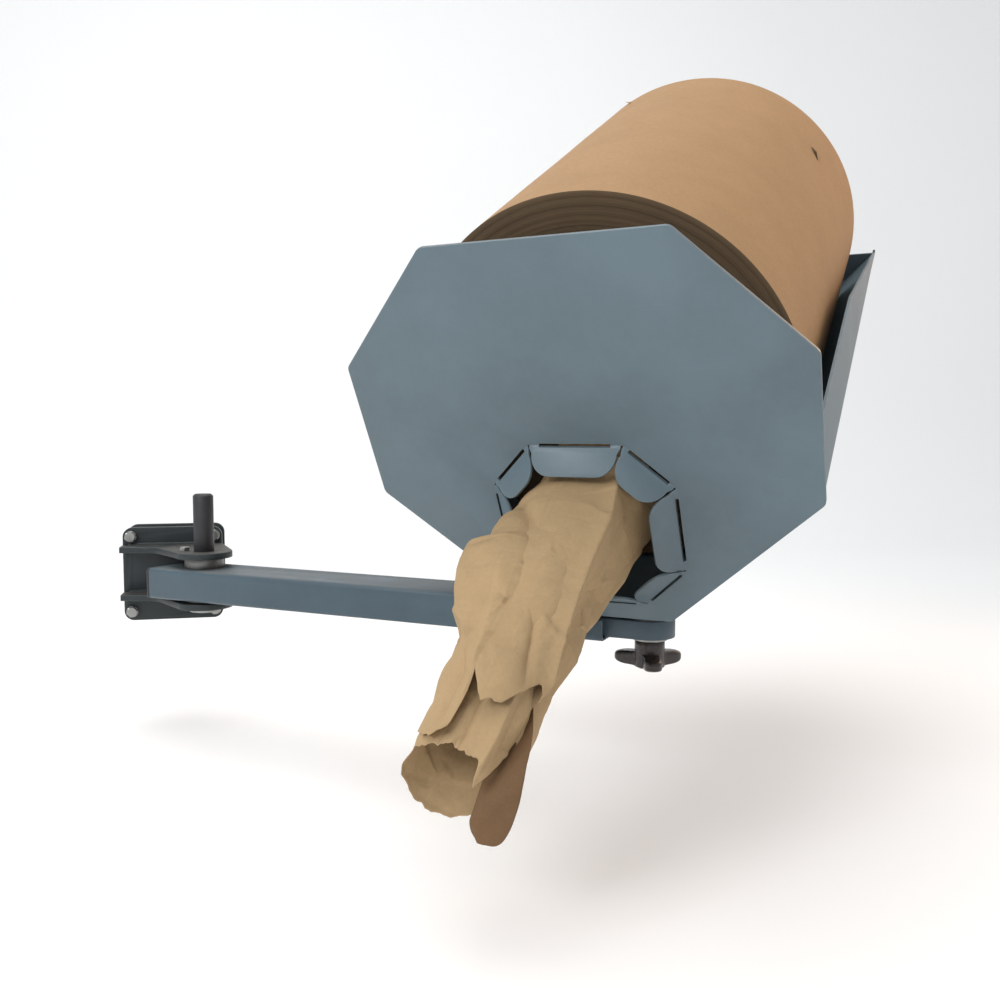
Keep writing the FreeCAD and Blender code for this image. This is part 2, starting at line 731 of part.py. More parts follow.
def trough_corners(offset):
    """Right half of the trough's section at an offset from its inner faces, rim first."""
    slope_x = "(Dim.plate_drop + Dim.hip_height)"
    slope_z = "(Dim.half_width - Dim.bottom_half_width)"
    slope = f"sqrt({slope_x}^2 + {slope_z}^2)"
    side = f"(Dim.trough_side + {offset})"
    floor = f"(Dim.trough_floor + {offset})"
    contact = f"(Dim.trough_contact + {offset})"
    hip = f"-({contact} * {slope} - {side} * {slope_x}) / {slope_z}"
    heel = f"({contact} * {slope} - {floor} * {slope_z}) / {slope_x}"
    return [(side, "Dim.trough_rim"), (side, hip), (heel, f"-{floor}")]


def mirrored(corners):
    return corners + [(f"-({x})", z) for x, z in reversed(corners)]


def trough_panels():
    """The cradle as flat panels that meet at its bends: two side walls, two slopes and a floor."""
    inner = mirrored(trough_corners("0"))
    outer = mirrored(trough_corners("Dim.trough_wall"))
    bends = list(zip(inner, outer))
    labels = ("side_wall_right", "slope_right", "trough_floor", "slope_left", "side_wall_left")
    for label, near, far in zip(labels, bends, bends[1:]):
        body = new_body(label)
        section = new_sketch(body, f"{label}_section", "XZ_Plane", "-Dim.sheet_thick")
        draw_polygon(section, [near[0], far[0], far[1], near[1]])
        extrude(body, "Pad", section, "Dim.trough_length", True)
        if label.startswith("side_wall"):
            taper_rim(body, f"{label}_rim")
        publish(body, label, head_frame)


def taper_rim(body, name):
    """Cut a side wall's top edge down towards the rear."""
    rim = new_sketch(body, name, "YZ_Plane", str(CLEAR_CUT / 2))
    far = "Dim.trough_length + Dim.sheet_thick + 1"
    above = "Dim.trough_rim + 1"
    draw_polygon(
        rim,
        [
            ("Dim.rim_straight", above),
            ("Dim.rim_straight", "Dim.trough_rim"),
            (far, "Dim.rim_rear"),
            (far, above),
        ],
    )
    checked_pocket(body, rim, str(CLEAR_CUT))


def rear_panel():
    body = new_body("rear_panel")
    depth = "Dim.trough_length + Dim.sheet_thick - Dim.rear_inset"
    outline = new_sketch(body, "rear_outline", "XZ_Plane", f"-({depth})")
    hip, heel = trough_corners("0")[1:]
    draw_polygon(outline, mirrored([hip, heel]))
    extrude(body, "Pad", outline, "Dim.trough_wall")
    publish(body, "rear_panel", head_frame)


def roll_stops():
    """Two angle brackets on the sloping walls that hold the roll back from the front plate."""
    rise = value("Dim.plate_drop + Dim.hip_height")
    run = value("Dim.half_width - Dim.bottom_half_width")
    slope = math.degrees(math.atan2(rise, run))
    for label, sign in (("roll_stop_left", -1), ("roll_stop_right", 1)):
        body = new_body(label)
        profile = new_sketch(body, f"{label}_profile", "YZ_Plane", "-Dim.stop_length / 2")
        foot = "(Dim.stop_foot - Dim.stop_thick)"
        draw_polygon(
            profile,
            [
                ("-Dim.stop_foot", "0"),
                ("0", "0"),
                ("0", "Dim.stop_tall"),
                ("-Dim.stop_thick", "Dim.stop_tall"),
                ("-Dim.stop_thick", "Dim.stop_thick"),
                (f"-{foot} - Dim.stop_thick", "Dim.stop_thick"),
            ],
        )
        extrude(body, "Pad", profile, "Dim.stop_length")
        tangent = Rotation(Y_AXIS, -sign * slope)
        inward = tangent.multVec(Z_AXIS)
        wall = inward * -value("Dim.trough_contact")
        shelf = at(wall.x, value("Dim.roll_start - 0.5"), wall.z, tangent)
        publish(body, label, head_frame * shelf)


def build_head():
    saddle()
    front_plate()
    trough_panels()
    rear_panel()
    roll_stops()
    stud_base = value("Dim.tongue_base - Dim.clamp_washer_thick - Dim.insert_tall + 1")
    saddle_top = value("Dim.tongue_top + Dim.glide_thick + Dim.saddle_thick")
    stud_length = f"{saddle_top - stud_base} + Dim.stud_overhang"
    stud = cylinder("pivot_stud", "Dim.stud_radius", stud_length)
    publish(stud, "pivot_stud", pivot_frame * at(z=stud_base))
    bore = "Dim.stud_radius + Dim.fit_gap"
    washer = ring("stud_washer", bore, "Dim.stud_radius * 2", "Dim.washer_thick")
    publish(washer, "stud_washer", pivot_frame * at(z=saddle_top))
    blank = hexagon("stud_nut_blank", "Dim.stud_radius * 1.8", "Dim.stud_nut_tall")
    nut = cut("stud_nut", blank, cylinder("stud_nut_hole", bore, "Dim.stud_nut_tall"))
    publish(nut, "stud_nut", pivot_frame * at(z=saddle_top + value("Dim.washer_thick")))


# ---------------------------------------------------------------- knob
def build_knob():
    """A three-lobe grip on a threaded insert, with its washer against the tongue."""
    gap = value("Dim.turn_gap")
    washer_top = value("Dim.tongue_base") - gap
    washer_base = washer_top - value("Dim.clamp_washer_thick")
    bore = "Dim.stud_radius + Dim.fit_gap"
    washer = ring("clamp_washer", bore, "Dim.clamp_washer_radius", "Dim.clamp_washer_thick")
    publish(washer, "clamp_washer", pivot_frame * at(z=washer_base))
    insert = ring("knob_insert", bore, "Dim.insert_radius", "Dim.insert_tall")
    publish(insert, "knob_insert", pivot_frame * at(z=washer_base - value("Dim.insert_tall")))
    body = new_body("knob_grip")
    hub = new_sketch(body, "hub_outline")
    draw_circle(hub, "0", "0", "Dim.hub_radius")
    extrude(body, "Pad", hub, "Dim.hub_tall", True)
    lobe = new_sketch(body, "lobe_web", "XY_Plane", "-Dim.lobe_drop")
    draw_polygon(lobe, rectangle("0", "Dim.lobe_reach", "-Dim.lobe_radius", "Dim.lobe_radius"))
    web = extrude(body, "Pad", lobe, "Dim.lobe_tall", True)
    tip = new_sketch(body, "lobe_tip", "XY_Plane", "-Dim.lobe_drop")
    draw_circle(tip, "Dim.lobe_reach", "0", "Dim.lobe_radius")
    round_tip = extrude(body, "Pad", tip, "Dim.lobe_tall", True)
    doc.recompute()
    pattern = body.newObject("PartDesign::PolarPattern", "lobes")
    pattern.Originals = [web, round_tip]
    pattern.Axis = (hub, ["N_Axis"])
    pattern.Angle = 360
    pattern.Occurrences = LOBE_COUNT
    body.Tip = pattern
    socket = new_sketch(body, "insert_socket")
    draw_circle(socket, "0", "0", "Dim.insert_radius")
    checked_pocket(body, socket, "Dim.insert_tall")
    facing = Rotation(Z_AXIS, value("Dim.knob_turn"))
    publish(body, "knob_grip", pivot_frame * at(z=washer_base, rotation=facing))


# ---------------------------------------------------------------- paper
def along_axis(distance, drop=0):
    """A place on the head's axis direction, turned so that a cylinder's height runs along it."""
    return at(0, distance, -drop, Rotation(X_AXIS, -90))


def paper_roll():
    start = value("Dim.roll_start")
    roll = ring("paper_roll", "Dim.bore_radius", "Dim.roll_radius", "Dim.roll_length", along_axis(start))
    publish(roll, "paper_roll", head_frame)


def paper_feed():
    """The gathered paper between the bore's mouth and the outlet, flat against the roll's front end."""
    slab_front = value("Dim.roll_start - Dim.feed_thick - Dim.feed_gap")
    drop = "Dim.outlet_drop + Dim.feed_half_width"
    slab = box("feed_slab", "2 * Dim.feed_half_width", "Dim.feed_thick", drop)
    slab.Placement = at(-value("Dim.feed_half_width"), slab_front, -value(drop))
    cap = cylinder("feed_turn", "Dim.feed_half_width", "Dim.feed_thick", along_axis(slab_front))
    publish(fuse("paper_feed", [slab, cap]), "paper_feed", head_frame)


# Stations of the free tail past the petals, from the outlet's centre in the level frame:
# sideways, towards the user, down, and the section's half width and half height.
TAIL_STATIONS = (
    (-1, 72, -40, 47, 42),
    (-3, 116, -70, 42, 34),
    (-6, 155, -101, 39, 30),
    (-14, 186, -131, 33, 26),
)

# The loose strip's lower corner in the same level frame, and its lean to the left going down.
STRIP_PLACE = (5, -198, -172)
STRIP_LEAN = 13

# The slits follow the tail: they lean to the left by this much, and droop past the bend by this much.
SLIT_LEAN = 2.2
SLIT_DROOP = 11


def tail_sections(name, inset):
    """Ellipses along the tail: straight through the outlet, then drooping."""
    level = Placement(Vector(), Rotation(X_AXIS, -value("Dim.head_tilt")))
    radius = value("Dim.tail_radius") - inset
    facing = Rotation(X_AXIS, 90)
    stations = [(0, value("Dim.tail_start"), 0, facing, radius, radius)]
    stations.append((0, -value("Dim.tail_straight"), 0, facing, radius, radius))
    previous = level.multVec(Vector(0, 0, 0))
    for side, out, down, half_width, half_height in TAIL_STATIONS:
        centre = level.multVec(Vector(side, -out, down))
        step = centre - previous
        heading = Rotation(X_AXIS, 90 + math.degrees(math.atan2(-step.z, -step.y)))
        stations.append((centre.x, centre.y, centre.z, heading, half_width - inset, half_height - inset))
        previous = centre
    sections = []
    for number, (x, y, z, heading, half_width, half_height) in enumerate(stations, 1):
        ellipse = doc.addObject("Part::Ellipse", f"{name}_{number}")
        major, minor = max(half_width, half_height), min(half_width, half_height)
        ellipse.MajorRadius = major + 0.001
        ellipse.MinorRadius = minor
        ellipse.Placement = at(x, y, z, heading)
        sections.append(ellipse)
    loft = doc.addObject("Part::Loft", name)
    loft.Sections = sections
    loft.Solid = True
    loft.Ruled = False
    return loft


def tail_slits():
    """Hairline slits that part the tail's shell into eight curved panels: four around, two along."""
    reach = value("Dim.slit_reach")
    bend = value("Dim.slit_bend")
    start = value("Dim.tail_start") + 1
    upright = box("slit_upright", "Dim.tail_slit", "Dim.slit_run", "Dim.slit_reach")
    upright.Placement = at(0, start, -reach / 2, Rotation(Z_AXIS, 180 - SLIT_LEAN))
    cross = box("slit_cross", "Dim.slit_reach", "Dim.tail_slit", "Dim.slit_reach")
    cross.Placement = at(-reach / 2, -bend, -reach / 2)
    near = box("slit_near", "Dim.slit_reach", "Dim.slit_bend + Dim.tail_start + 1", "Dim.tail_slit")
    near.Placement = at(-reach / 2, -bend, 0)
    far = box("slit_far", "Dim.slit_reach", "Dim.slit_run - Dim.slit_bend", "Dim.tail_slit")
    far.Placement = at(reach / 2, -bend, 0, Rotation(Z_AXIS, 180) * Rotation(X_AXIS, -SLIT_DROOP))
    return [upright, cross, near, far]


def build_paper():
    paper_roll()
    paper_feed()
    outer = tail_sections("tail_outer", 0)
    inner = tail_sections("tail_inner", value("Dim.tail_wall"))
    outlet = head_frame * at(z=-value("Dim.outlet_drop"))
    publish(cut("paper_tail", outer, group("tail_hollow", [inner, *tail_slits()])), "paper_tail", outlet)
    strip = box("paper_strip", "Dim.strip_width", "Dim.strip_thick", "Dim.strip_length")
    level = outlet * at(rotation=Rotation(X_AXIS, -value("Dim.head_tilt")))
    publish(strip, "paper_strip", level * at(*STRIP_PLACE, Rotation(Y_AXIS, STRIP_LEAN)))


build_bracket()
build_arm()
build_head()
build_knob()
build_paper()
doc.recompute()

for item in doc.Objects:
    if "Invalid" in item.State or "Error" in item.State:
        raise RuntimeError(f"{item.Name} is in state {item.State}")
for item in sub_parts:
    if item.Shape.isNull() or not item.Shape.isValid():
        raise RuntimeError(f"{item.Label} has no valid shape")

os.makedirs("parts", exist_ok=True)
for item in sub_parts:
    item.Shape.exportStep(f"parts/{item.Label}.step")
print(len(sub_parts), "sub-parts written")
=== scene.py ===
import json
import math
import random

import bmesh
import bpy
import numpy as np
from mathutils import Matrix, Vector, noise
from mathutils.geometry import delaunay_2d_cdt


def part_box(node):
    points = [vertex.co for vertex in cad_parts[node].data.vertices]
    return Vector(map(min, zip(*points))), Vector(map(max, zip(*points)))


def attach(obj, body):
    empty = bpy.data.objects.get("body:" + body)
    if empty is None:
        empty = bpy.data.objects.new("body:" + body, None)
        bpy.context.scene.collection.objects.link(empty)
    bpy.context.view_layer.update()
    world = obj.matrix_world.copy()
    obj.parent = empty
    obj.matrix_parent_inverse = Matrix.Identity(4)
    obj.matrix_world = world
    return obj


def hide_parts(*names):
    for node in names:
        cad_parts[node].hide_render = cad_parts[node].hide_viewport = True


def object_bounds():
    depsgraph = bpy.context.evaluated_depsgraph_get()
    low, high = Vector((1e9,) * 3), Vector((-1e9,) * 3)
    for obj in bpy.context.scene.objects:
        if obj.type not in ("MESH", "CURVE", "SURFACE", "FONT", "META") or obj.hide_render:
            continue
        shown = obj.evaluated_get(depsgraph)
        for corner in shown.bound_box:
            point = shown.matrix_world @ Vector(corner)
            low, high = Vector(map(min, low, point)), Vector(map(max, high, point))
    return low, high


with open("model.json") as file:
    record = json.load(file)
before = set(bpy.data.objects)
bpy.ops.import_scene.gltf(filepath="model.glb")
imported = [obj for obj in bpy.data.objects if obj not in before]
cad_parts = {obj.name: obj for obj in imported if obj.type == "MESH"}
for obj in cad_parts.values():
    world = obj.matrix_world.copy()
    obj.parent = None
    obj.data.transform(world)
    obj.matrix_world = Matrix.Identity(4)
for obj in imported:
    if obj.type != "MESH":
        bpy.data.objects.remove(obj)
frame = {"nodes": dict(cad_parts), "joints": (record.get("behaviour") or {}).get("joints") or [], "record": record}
cad_low, cad_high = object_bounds()

# ---------------------------------------------------------------- places, from the frame
JOINTS = {joint["name"]: joint for joint in frame["joints"]}
PIVOT = Vector(JOINTS["head_swivel"]["pos_m"])
PLATE_UP = Vector(JOINTS["roll_lift"]["axis"]).normalized()
OUTWARD = Vector(JOINTS["paper_pull"]["axis"]).normalized()
REARWARD = -OUTWARD
ACROSS = REARWARD.cross(PLATE_UP)
UP = Vector((0, 0, 1))
LEVEL_REAR = UP.cross(ACROSS)

MM = 0.001
ROLL_RADIUS = 150 * MM
ROLL_LENGTH = 380 * MM
BORE_RADIUS = 38 * MM
ROLL_START = 66.5 * MM
OUTLET_DROP = 78 * MM
BOLT_RADIUS = 3 * MM
STUD_RADIUS = 6 * MM


def middle(node):
    """The centre of a CAD node's box."""
    low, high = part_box(node)
    return (low + high) / 2


HEAD = middle("paper_roll") - REARWARD * (ROLL_START + ROLL_LENGTH / 2)
OUTLET = HEAD - PLATE_UP * OUTLET_DROP


def head_point(side, rear, up):
    """A point by its distances from the roll axis's place on the front plate's face."""
    return HEAD + ACROSS * side + REARWARD * rear + PLATE_UP * up


def level_point(side, out, down):
    """A point by its distances from the outlet's centre: to the right, towards the user and down."""
    return OUTLET + ACROSS * side - LEVEL_REAR * out - UP * down


# ---------------------------------------------------------------- shader building
class Paint:
    """A material's node tree, with short calls for the nodes that the finishes share."""

    def __init__(self, name):
        self.material = bpy.data.materials.new(name)
        self.material.use_nodes = True
        self.tree = self.material.node_tree
        self.shader = self.tree.nodes["Principled BSDF"]
        self.place = self.add("ShaderNodeTexCoord").outputs["Object"]

    def add(self, kind, inputs=None, **settings):
        """A node with its settings, and its inputs linked or set by their names or numbers."""
        node = self.tree.nodes.new(kind)
        for name, setting in settings.items():
            setattr(node, name, setting)
        for name, source in (inputs or {}).items():
            self.feed(node.inputs[name], source)
        return node

    def feed(self, socket, source):
        """Link an output to an input, or set the input to a number or colour."""
        if isinstance(source, bpy.types.NodeSocket):
            self.tree.links.new(source, socket)
        else:
            socket.default_value = source

    def noise(self, scale, detail=4, roughness=0.5, place=None, distortion=0):
        inputs = {"Vector": place or self.place, "Scale": scale, "Detail": detail}
        inputs |= {"Roughness": roughness, "Distortion": distortion}
        return self.add("ShaderNodeTexNoise", inputs).outputs["Fac"]

    def cells(self, scale):
        inputs = {"Vector": self.place, "Scale": scale}
        return self.add("ShaderNodeTexVoronoi", inputs, feature="F1").outputs["Distance"]

    def stretched(self, scale, turn=(0, 0, 0)):
        """The object's coordinates, scaled and turned, for grain that runs one way."""
        inputs = {"Vector": self.place, "Scale": scale, "Rotation": turn}
        return self.add("ShaderNodeMapping", inputs).outputs["Vector"]

    def calc(self, operation, first, second):
        return self.add("ShaderNodeMath", {0: first, 1: second}, operation=operation).outputs[0]

    def span(self, source, low, high, out_low=0.0, out_high=1.0):
        """Map a range of numbers to another, held at both ends."""
        inputs = {"Value": source, "From Min": low, "From Max": high, "To Min": out_low, "To Max": out_high}
        return self.add("ShaderNodeMapRange", inputs).outputs["Result"]

    def blend(self, share, first, second):
        inputs = {"Factor": share}
        for name, colour in (("A", first), ("B", second)):
            inputs[name] = colour if isinstance(colour, bpy.types.NodeSocket) else (*colour, 1)
        return self.add("ShaderNodeMix", inputs, data_type="RGBA").outputs["Result"]

    def edge(self, radius):
        """0 on flat faces, rising to 1 along sharp edges, over a width of about the radius."""
        rounded = self.add("ShaderNodeBevel", {"Radius": radius}, samples=4).outputs["Normal"]
        true = self.add("ShaderNodeNewGeometry").outputs["Normal"]
        dot = self.add("ShaderNodeVectorMath", {0: rounded, 1: true}, operation="DOT_PRODUCT")
        return self.span(dot.outputs["Value"], 0.995, 0.8)

    def upward(self):
        """1 on faces that look up, 0 elsewhere."""
        normal = self.add("ShaderNodeNewGeometry").outputs["Normal"]
        split = self.add("ShaderNodeSeparateXYZ", {0: normal})
        return self.span(split.outputs["Z"], 0.6, 0.95)

    def bump(self, height, distance, strength=1.0, below=None):
        inputs = {"Height": height, "Distance": distance, "Strength": strength}
        if below is not None:
            inputs["Normal"] = below
        return self.add("ShaderNodeBump", inputs).outputs["Normal"]

    def finish(self, colour, roughness, normal=None, **sockets):
        self.feed(self.shader.inputs["Base Color"], colour)
        self.feed(self.shader.inputs["Roughness"], roughness)
        if normal is not None:
            self.feed(self.shader.inputs["Normal"], normal)
        for name, setting in sockets.items():
            self.shader.inputs[name.replace("_", " ")].default_value = setting
        return self.material


# ---------------------------------------------------------------- finishes
def shade(colour, share):
    """A colour made darker or lighter."""
    return tuple(part * share for part in colour)


def powder_coat(name, colour, dust_and_sheen=0.25, gloss=0.5):
    """Satin powder coat: orange peel, mottling, wear and painted highlight on edges, dust and painted sheen on
    top.
    """
    paint = Paint(name)
    mottle = paint.noise(9, detail=6, roughness=0.6)
    fine = paint.noise(160, detail=3)
    darker = shade(colour, 0.86)
    lighter = tuple(min(1, c * 1.1) for c in colour)
    tone = paint.blend(paint.span(mottle, 0.35, 0.65), darker, lighter)
    tone = paint.blend(paint.span(fine, 0.3, 0.7, 0, 0.12), tone, shade(colour, 1.25))
    scuff_lines = paint.noise(14, detail=8, roughness=0.75, place=paint.stretched((1, 1, 9), (0.5, 0.3, 0.2)))
    scuffs = paint.calc("MULTIPLY", paint.span(scuff_lines, 0.63, 0.7), paint.span(mottle, 0.5, 0.62))
    tone = paint.blend(paint.calc("MULTIPLY", scuffs, 0.25), tone, shade(colour, 1.8))
    # Pale edges: partly wear, partly a painted highlight along the rounded edges.
    edge = paint.edge(0.9 * MM)
    edges = paint.calc("MULTIPLY", edge, paint.span(paint.noise(60, 5), 0.35, 0.6, 0.25, 1))
    tone = paint.blend(paint.calc("MULTIPLY", edges, 0.5), tone, (0.42, 0.46, 0.47))
    # Top faces: dust, and a painted sheen that lightens them towards tan.
    top_dust_and_sheen = paint.calc("MULTIPLY", paint.upward(), paint.span(paint.noise(22, 6, 0.65), 0.35, 0.7))
    tone = paint.blend(paint.calc("MULTIPLY", top_dust_and_sheen, dust_and_sheen), tone, (0.30, 0.255, 0.20))
    peel = paint.noise(520, detail=2)
    normal = paint.bump(peel, 0.00035, 0.22, below=paint.bump(mottle, 0.002, 0.05))
    rough = paint.span(mottle, 0.3, 0.7, 0.36, 0.48)
    rough = paint.calc("ADD", rough, paint.calc("MULTIPLY", top_dust_and_sheen, 0.25))
    return paint.finish(tone, rough, normal, Specular_IOR_Level=gloss)


def plated_steel(name, colour, roughness=0.28, grain=(1, 1, 1)):
    """Bright plated or turned steel: fine lines, small stains and darker pits."""
    paint = Paint(name)
    lines = paint.noise(900, detail=3, place=paint.stretched(grain))
    stain = paint.noise(120, detail=6, roughness=0.65)
    tone = paint.blend(paint.span(stain, 0.35, 0.75), colour, shade(colour, 0.72))
    tone = paint.blend(paint.span(lines, 0.35, 0.65, 0, 0.25), tone, shade(colour, 0.8))
    rough = paint.span(stain, 0.3, 0.7, roughness, roughness + 0.18)
    normal = paint.bump(lines, 0.0002, 0.25)
    return paint.finish(tone, rough, normal, Metallic=1.0)


def moulded(name, colour, roughness, texture=420, depth=0.0003):
    """Moulded plastic: a fine spark texture, worn smoother and paler along its edges."""
    paint = Paint(name)
    grain = paint.noise(texture, detail=3)
    cloud = paint.noise(35, detail=5)
    tone = paint.blend(paint.span(cloud, 0.35, 0.7), colour, tuple(c * 1.5 + 0.004 for c in colour))
    worn = paint.edge(1.2 * MM)
    pale = tuple(min(1, part * 2.2 + 0.02) for part in colour)
    tone = paint.blend(paint.calc("MULTIPLY", worn, 0.35), tone, pale)
    rough = paint.span(cloud, 0.3, 0.7, roughness, roughness + 0.12)
    return paint.finish(tone, rough, paint.bump(grain, depth, 0.3))


def kraft(name, colour, grain=(1, 1, 1), crease=True):
    """Unbleached kraft paper: long fibres, flecks, faint clouding, soft wrinkles and painted shade in its creases.
    """
    paint = Paint(name)
    fibre = paint.noise(420, detail=5, roughness=0.65, place=paint.stretched(grain))
    flecks = paint.cells(900)
    cloud = paint.noise(18, detail=6, roughness=0.6)
    tone = paint.blend(paint.span(cloud, 0.3, 0.7), shade(colour, 0.93), shade(colour, 1.05))
    tone = paint.blend(paint.span(fibre, 0.35, 0.7, 0, 0.3), tone, shade(colour, 0.78))
    tone = paint.blend(paint.span(flecks, 0.12, 0.05, 0, 0.25), tone, shade(colour, 0.5))
    normal = paint.bump(fibre, 0.0004, 0.25)
    if crease:
        # Painted shade: the paper is darkened where it is sharply folded.
        crease_shade = paint.add("ShaderNodeAttribute", attribute_name="fold").outputs["Fac"]
        tone = paint.blend(paint.span(crease_shade, 0.3, 1, 0, 0.1), tone, shade(colour, 0.55))
        wrinkle = paint.noise(75, detail=5, roughness=0.6, distortion=0.6)
        normal = paint.bump(wrinkle, 0.003, 0.2, below=normal)
    rough = paint.span(fibre, 0.3, 0.7, 0.72, 0.86)
    return paint.finish(tone, rough, normal, Specular_IOR_Level=0.25)


def roll_edge(name, colour):
    """The roll's wound end: thin dark and pale layers, read from each point's distance to the axis."""
    paint = Paint(name)
    layer = paint.add("ShaderNodeAttribute", attribute_name="layer").outputs["Fac"]
    bands = []
    for scale, detail in ((2600, 3), (420, 4), (90, 3)):
        inputs = {"W": layer, "Scale": scale, "Detail": detail}
        bands.append(paint.add("ShaderNodeTexNoise", inputs, noise_dimensions="1D").outputs["Fac"])
    tone = paint.blend(paint.span(bands[0], 0.35, 0.65), shade(colour, 0.62), colour)
    tone = paint.blend(paint.span(bands[1], 0.4, 0.62, 0, 0.6), tone, shade(colour, 0.5))
    tone = paint.blend(paint.span(bands[2], 0.4, 0.65, 0, 0.35), tone, shade(colour, 1.25))
    tone = paint.blend(paint.span(paint.noise(30, 5), 0.4, 0.7, 0, 0.25), tone, shade(colour, 0.6))
    height = paint.calc("ADD", bands[0], bands[1])
    return paint.finish(tone, 0.88, paint.bump(height, 0.0006, 0.6), Specular_IOR_Level=0.2)


HEAD_BLUE = (0.098, 0.139, 0.162)
ARM_BLUE = (0.062, 0.092, 0.114)
BRACKET_BLUE = (0.022, 0.028, 0.030)
KRAFT = (0.42, 0.286, 0.152)

FINISH = {
    "head_paint": powder_coat("head_coat", HEAD_BLUE, dust_and_sheen=0.2),
    "arm_paint": powder_coat("arm_coat", ARM_BLUE, dust_and_sheen=0.3, gloss=0.32),
    "bracket_paint": powder_coat("bracket_coat", BRACKET_BLUE, dust_and_sheen=0.25, gloss=0.35),
    "zinc": plated_steel("bright_zinc", (0.36, 0.36, 0.345), 0.3),
    # The turned steel is kept dark partly as painted shade, for the collars under the flanges.
    "steel": plated_steel("turned_steel", (0.24, 0.235, 0.225), 0.36, grain=(1, 1, 8)),
    "bearing_plastic": moulded("bearing_black", (0.05, 0.05, 0.052), 0.5),
    "cap_plastic": moulded("cap_black", (0.018, 0.018, 0.020), 0.45),
    "knob_plastic": moulded("knob_black", (0.020, 0.014, 0.012), 0.22, texture=260, depth=0.0002),
    "brass": plated_steel("insert_brass", (0.62, 0.42, 0.16), 0.3),
    "kraft": kraft("kraft_sheet", KRAFT),
}
ROLL_SKIN = kraft("kraft_roll", (0.365, 0.218, 0.107), grain=(1, 0.15, 1), crease=False)
# The strip's kraft is made darker than the tail's as painted shade.
STRIP_SHADED_SKIN = kraft("kraft_strip_painted_shade", (0.160, 0.090, 0.044))
# The wound end's layered kraft, made much darker than the wrap as painted shade on the end faces.
ROLL_END_SHADED = roll_edge("kraft_layers_painted_shade", (0.16, 0.105, 0.06))

SLOTS = {part["node"]: part["material_slot"] for part in frame["record"]["subparts"]}
EDGE_ROUND = {"front_plate": 0.7, "swivel_tongue": 0.8}
WELD_GAP = 0.01 * MM
FLAT_ANGLE = math.radians(0.6)
EDGE_ANGLE = math.radians(35)
EDGE_ROUND_REST = 0.4


def dress_cad_nodes():
    """Give every CAD node its finish, and soften its edges by a fraction of a millimetre."""
    for name, item in frame["nodes"].items():
        item.data.materials.clear()
        item.data.materials.append(FINISH[SLOTS[name]])
        weld = item.modifiers.new("weld", "WELD")
        weld.merge_threshold = WELD_GAP
        flat = item.modifiers.new("flats", "DECIMATE")
        flat.decimate_type = "DISSOLVE"
        flat.angle_limit = FLAT_ANGLE
        soft = item.modifiers.new("edges", "BEVEL")
        soft.width = EDGE_ROUND.get(name, EDGE_ROUND_REST) * MM
        soft.segments = 2
        soft.limit_method = "ANGLE"
        soft.angle_limit = EDGE_ANGLE
        soft.use_clamp_overlap = True
        soft.harden_normals = True
        for face in item.data.polygons:
            face.use_smooth = True


# ---------------------------------------------------------------- mesh building
def place_object(name, data):
    """A new object in the scene's collection."""
    item = bpy.data.objects.new(name, data)
    bpy.context.scene.collection.objects.link(item)
    return item


def mesh_object(name, points, faces, material):
    data = bpy.data.meshes.new(name)
    data.from_pydata([tuple(point) for point in points], [], faces)
    data.materials.append(material)
    for face in data.polygons:
        face.use_smooth = True
    return place_object(name, data)


def grid_faces(rows, columns, closed, first=0):
    """Quads of a grid of points stored row by row; a closed grid joins its last column to its first."""
    faces = []
    for row in range(rows - 1):
        for column in range(columns if closed else columns - 1):
            beside = (column + 1) % columns
            a = first + row * columns
            b = a + columns
            faces.append((a + column, a + beside, b + beside, b + column))
    return faces


def axes_of(axis):
    """Two directions square to an axis, and the axis itself."""
    along = Vector(axis).normalized()
    side = along.orthogonal().normalized()
    if abs(along.z) > 0.99:
        side = Vector((1, 0, 0))
    return (side, along.cross(side)), along


def lathe(rings, turns, place, axis, radius_at=None):
    """Rings of (radius, height) turned about an axis; radius_at may change the radius with the angle."""
    across, along = axes_of(axis)
    points = []
    for radius, height in rings:
        for step in range(turns):
            angle = 2 * math.pi * step / turns
            reach = radius_at(radius, height, angle) if radius_at else radius
            flat = across[0] * math.cos(angle) + across[1] * math.sin(angle)
            points.append(place + flat * reach + along * height)
    return points, grid_faces(len(rings), turns, True)


def join_meshes(name, parts, material):
    """One object from several lists of points and faces."""
    points, faces = [], []
    for some_points, some_faces in parts:
        first = len(points)
        points.extend(some_points)
        faces.extend(tuple(corner + first for corner in face) for face in some_faces)
    return mesh_object(name, points, faces, material)


def capped(part, turns):
    """Close the first and last ring of a lathed part with a fan."""
    points, faces = part
    rows = len(points) // turns
    faces = list(faces)
    faces.append(tuple(range(turns - 1, -1, -1)))
    faces.append(tuple(range((rows - 1) * turns, rows * turns)))
    return points, faces


def smooth_line(knots, count):
    """Evenly numbered points on a Catmull-Rom curve through rows of numbers."""
    knots = np.array(knots, float)
    padded = np.vstack([2 * knots[0] - knots[1], knots, 2 * knots[-1] - knots[-2]])
    rows = []
    for position in np.linspace(0, len(knots) - 1, count):
        span = min(int(position), len(knots) - 2)
        t = position - span
        a, b, c, d = padded[span:span + 4]
        square, cube = 2 * a - 5 * b + 4 * c - d, 3 * b - a - 3 * c + d
        rows.append(0.5 * (2 * b + (c - a) * t + square * t ** 2 + cube * t ** 3))
    return np.array(rows)


def mark_sharp(item, degrees):
    """Keep the edges that bend by more than an angle sharp under smooth shading."""
    mesh = bmesh.new()
    mesh.from_mesh(item.data)
    for edge in mesh.edges:
        if len(edge.link_faces) == 2 and edge.calc_face_angle(0) > math.radians(degrees):
            edge.smooth = False
    mesh.to_mesh(item.data)
    mesh.free()


